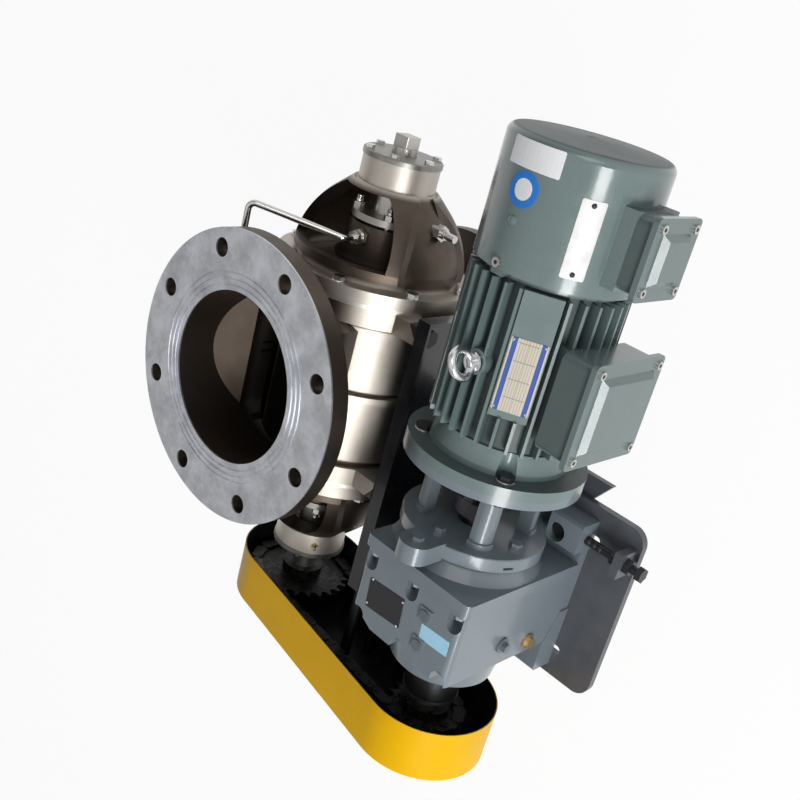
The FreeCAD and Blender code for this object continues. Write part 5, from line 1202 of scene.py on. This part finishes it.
class AIRLOCK_OT_stage(bpy.types.Operator):
    """Floor, soft light and the camera"""

    bl_idname = "airlock.stage"
    bl_label = "Stage"

    def execute(self, context):
        settings = context.scene.airlock_stage
        scene = context.scene
        scene.view_settings.view_transform = "Standard"

        camera = bpy.data.cameras.new("camera")
        camera.lens = settings.lens
        camera.sensor_width = 36
        camera.clip_start, camera.clip_end = 0.05, 60
        holder = in_scene("camera", camera)
        holder.rotation_euler = [math.radians(a) for a in CAMERA_DEGREES]
        holder.location = CAMERA_PLACE
        scene.camera = holder

        self.lamp("key", settings.key_power, (1.55, 0.62), (-0.58, -2.04, 1.42))
        self.lamp("fill", settings.fill_power, (1.2, 1.2), (1.5, -1.3, 1.7))
        self.room(scene, settings.ambient)
        self.floor()
        return {"FINISHED"}

    def lamp(self, name, power, size, place):
        """A soft light, size gives its width and height, that looks at the middle of the valve."""
        light = bpy.data.lights.new(name, "AREA")
        light.shape, light.energy = "RECTANGLE", power
        light.size, light.size_y = size
        holder = in_scene(name, light)
        aim = (cad_low + cad_high) / 2 - Vector(place)
        holder.location = place
        holder.rotation_euler = aim.to_track_quat("-Z", "Y").to_euler()

    def room(self, scene, ambient):
        """White low down and grey overhead where it is seen, and even light elsewhere."""
        scene.world = bpy.data.worlds.new("room")
        world = Shader(scene.world, "ShaderNodeOutputWorld")
        height = world.parts_of(world.node("ShaderNodeTexCoord", output="Generated"))[2]
        colour = world.node("ShaderNodeValToRGB", inputs={0: height})
        ramp = colour.socket.node.color_ramp
        for element, position, grey in (
            (ramp.elements[0], 0.24, 1.0),
            (ramp.elements[1], 1.0, 0.10),
            (ramp.elements.new(0.5), 0.52, 0.22),
        ):
            element.position = position
            element.color = (grey, grey, grey, 1)
        shown = world.node("ShaderNodeBackground", inputs={"Color": colour})
        inputs = {"Color": (1, 1, 1), "Strength": ambient}
        light = world.node("ShaderNodeBackground", inputs=inputs)
        world.end_mixed(world.straight_rays(), light, shown)

    def floor(self):
        """A large white floor that keeps a soft shadow."""
        bm = bmesh.new()
        bmesh.ops.create_circle(bm, cap_ends=True, segments=96, radius=20)
        mesh = bpy.data.meshes.new("floor")
        bm.to_mesh(mesh)
        bm.free()
        floor = in_scene("floor", mesh)
        floor.location.z = -0.0005
        finish = Finish("floor_white")
        finish.done((0.86, 0.86, 0.86), 0.9, specular_ior_level=0.1)
        glow = finish.node("ShaderNodeEmission", inputs={"Strength": 1.0})
        finish.end_mixed(finish.straight_rays() * FLOOR_GLOW, finish.surface, glow)
        mesh.materials.append(finish.material)


class AIRLOCK_PT_panel(bpy.types.Panel):
    """Lists the settings and the steps that dress the valve"""

    bl_idname = "AIRLOCK_PT_panel"
    bl_label = "Airlock Valve"
    bl_space_type = "VIEW_3D"
    bl_region_type = "UI"
    bl_category = "Airlock Valve"

    def draw(self, context):
        column = self.layout.column()
        for name in ("motor_green", "unit_grey", "guard_yellow", "cast_steel", "plate_grey"):
            column.prop(context.scene.airlock_finish, name)
        for name in ("lens", "key_power", "fill_power", "ambient"):
            column.prop(context.scene.airlock_stage, name)
        for step in STEPS:
            column.operator(step.bl_idname)


STEPS = [
    AIRLOCK_OT_finishes,
    AIRLOCK_OT_bare_plates,
    AIRLOCK_OT_gaskets,
    AIRLOCK_OT_sockets,
    AIRLOCK_OT_washers,
    AIRLOCK_OT_threads,
    AIRLOCK_OT_nipples,
    AIRLOCK_OT_welds,
    AIRLOCK_OT_stage,
]
CLASSES = [FinishSettings, StageSettings, *STEPS, AIRLOCK_PT_panel]


def register():
    for cls in CLASSES:
        bpy.utils.register_class(cls)
    bpy.types.Scene.airlock_finish = bpy.props.PointerProperty(type=FinishSettings)
    bpy.types.Scene.airlock_stage = bpy.props.PointerProperty(type=StageSettings)


def unregister():
    del bpy.types.Scene.airlock_stage
    del bpy.types.Scene.airlock_finish
    for cls in reversed(CLASSES):
        bpy.utils.unregister_class(cls)


def main():
    register()
    for step in STEPS:
        group, name = step.bl_idname.split(".")
        getattr(getattr(bpy.ops, group), name)()


if __name__ == "__main__":
    main()
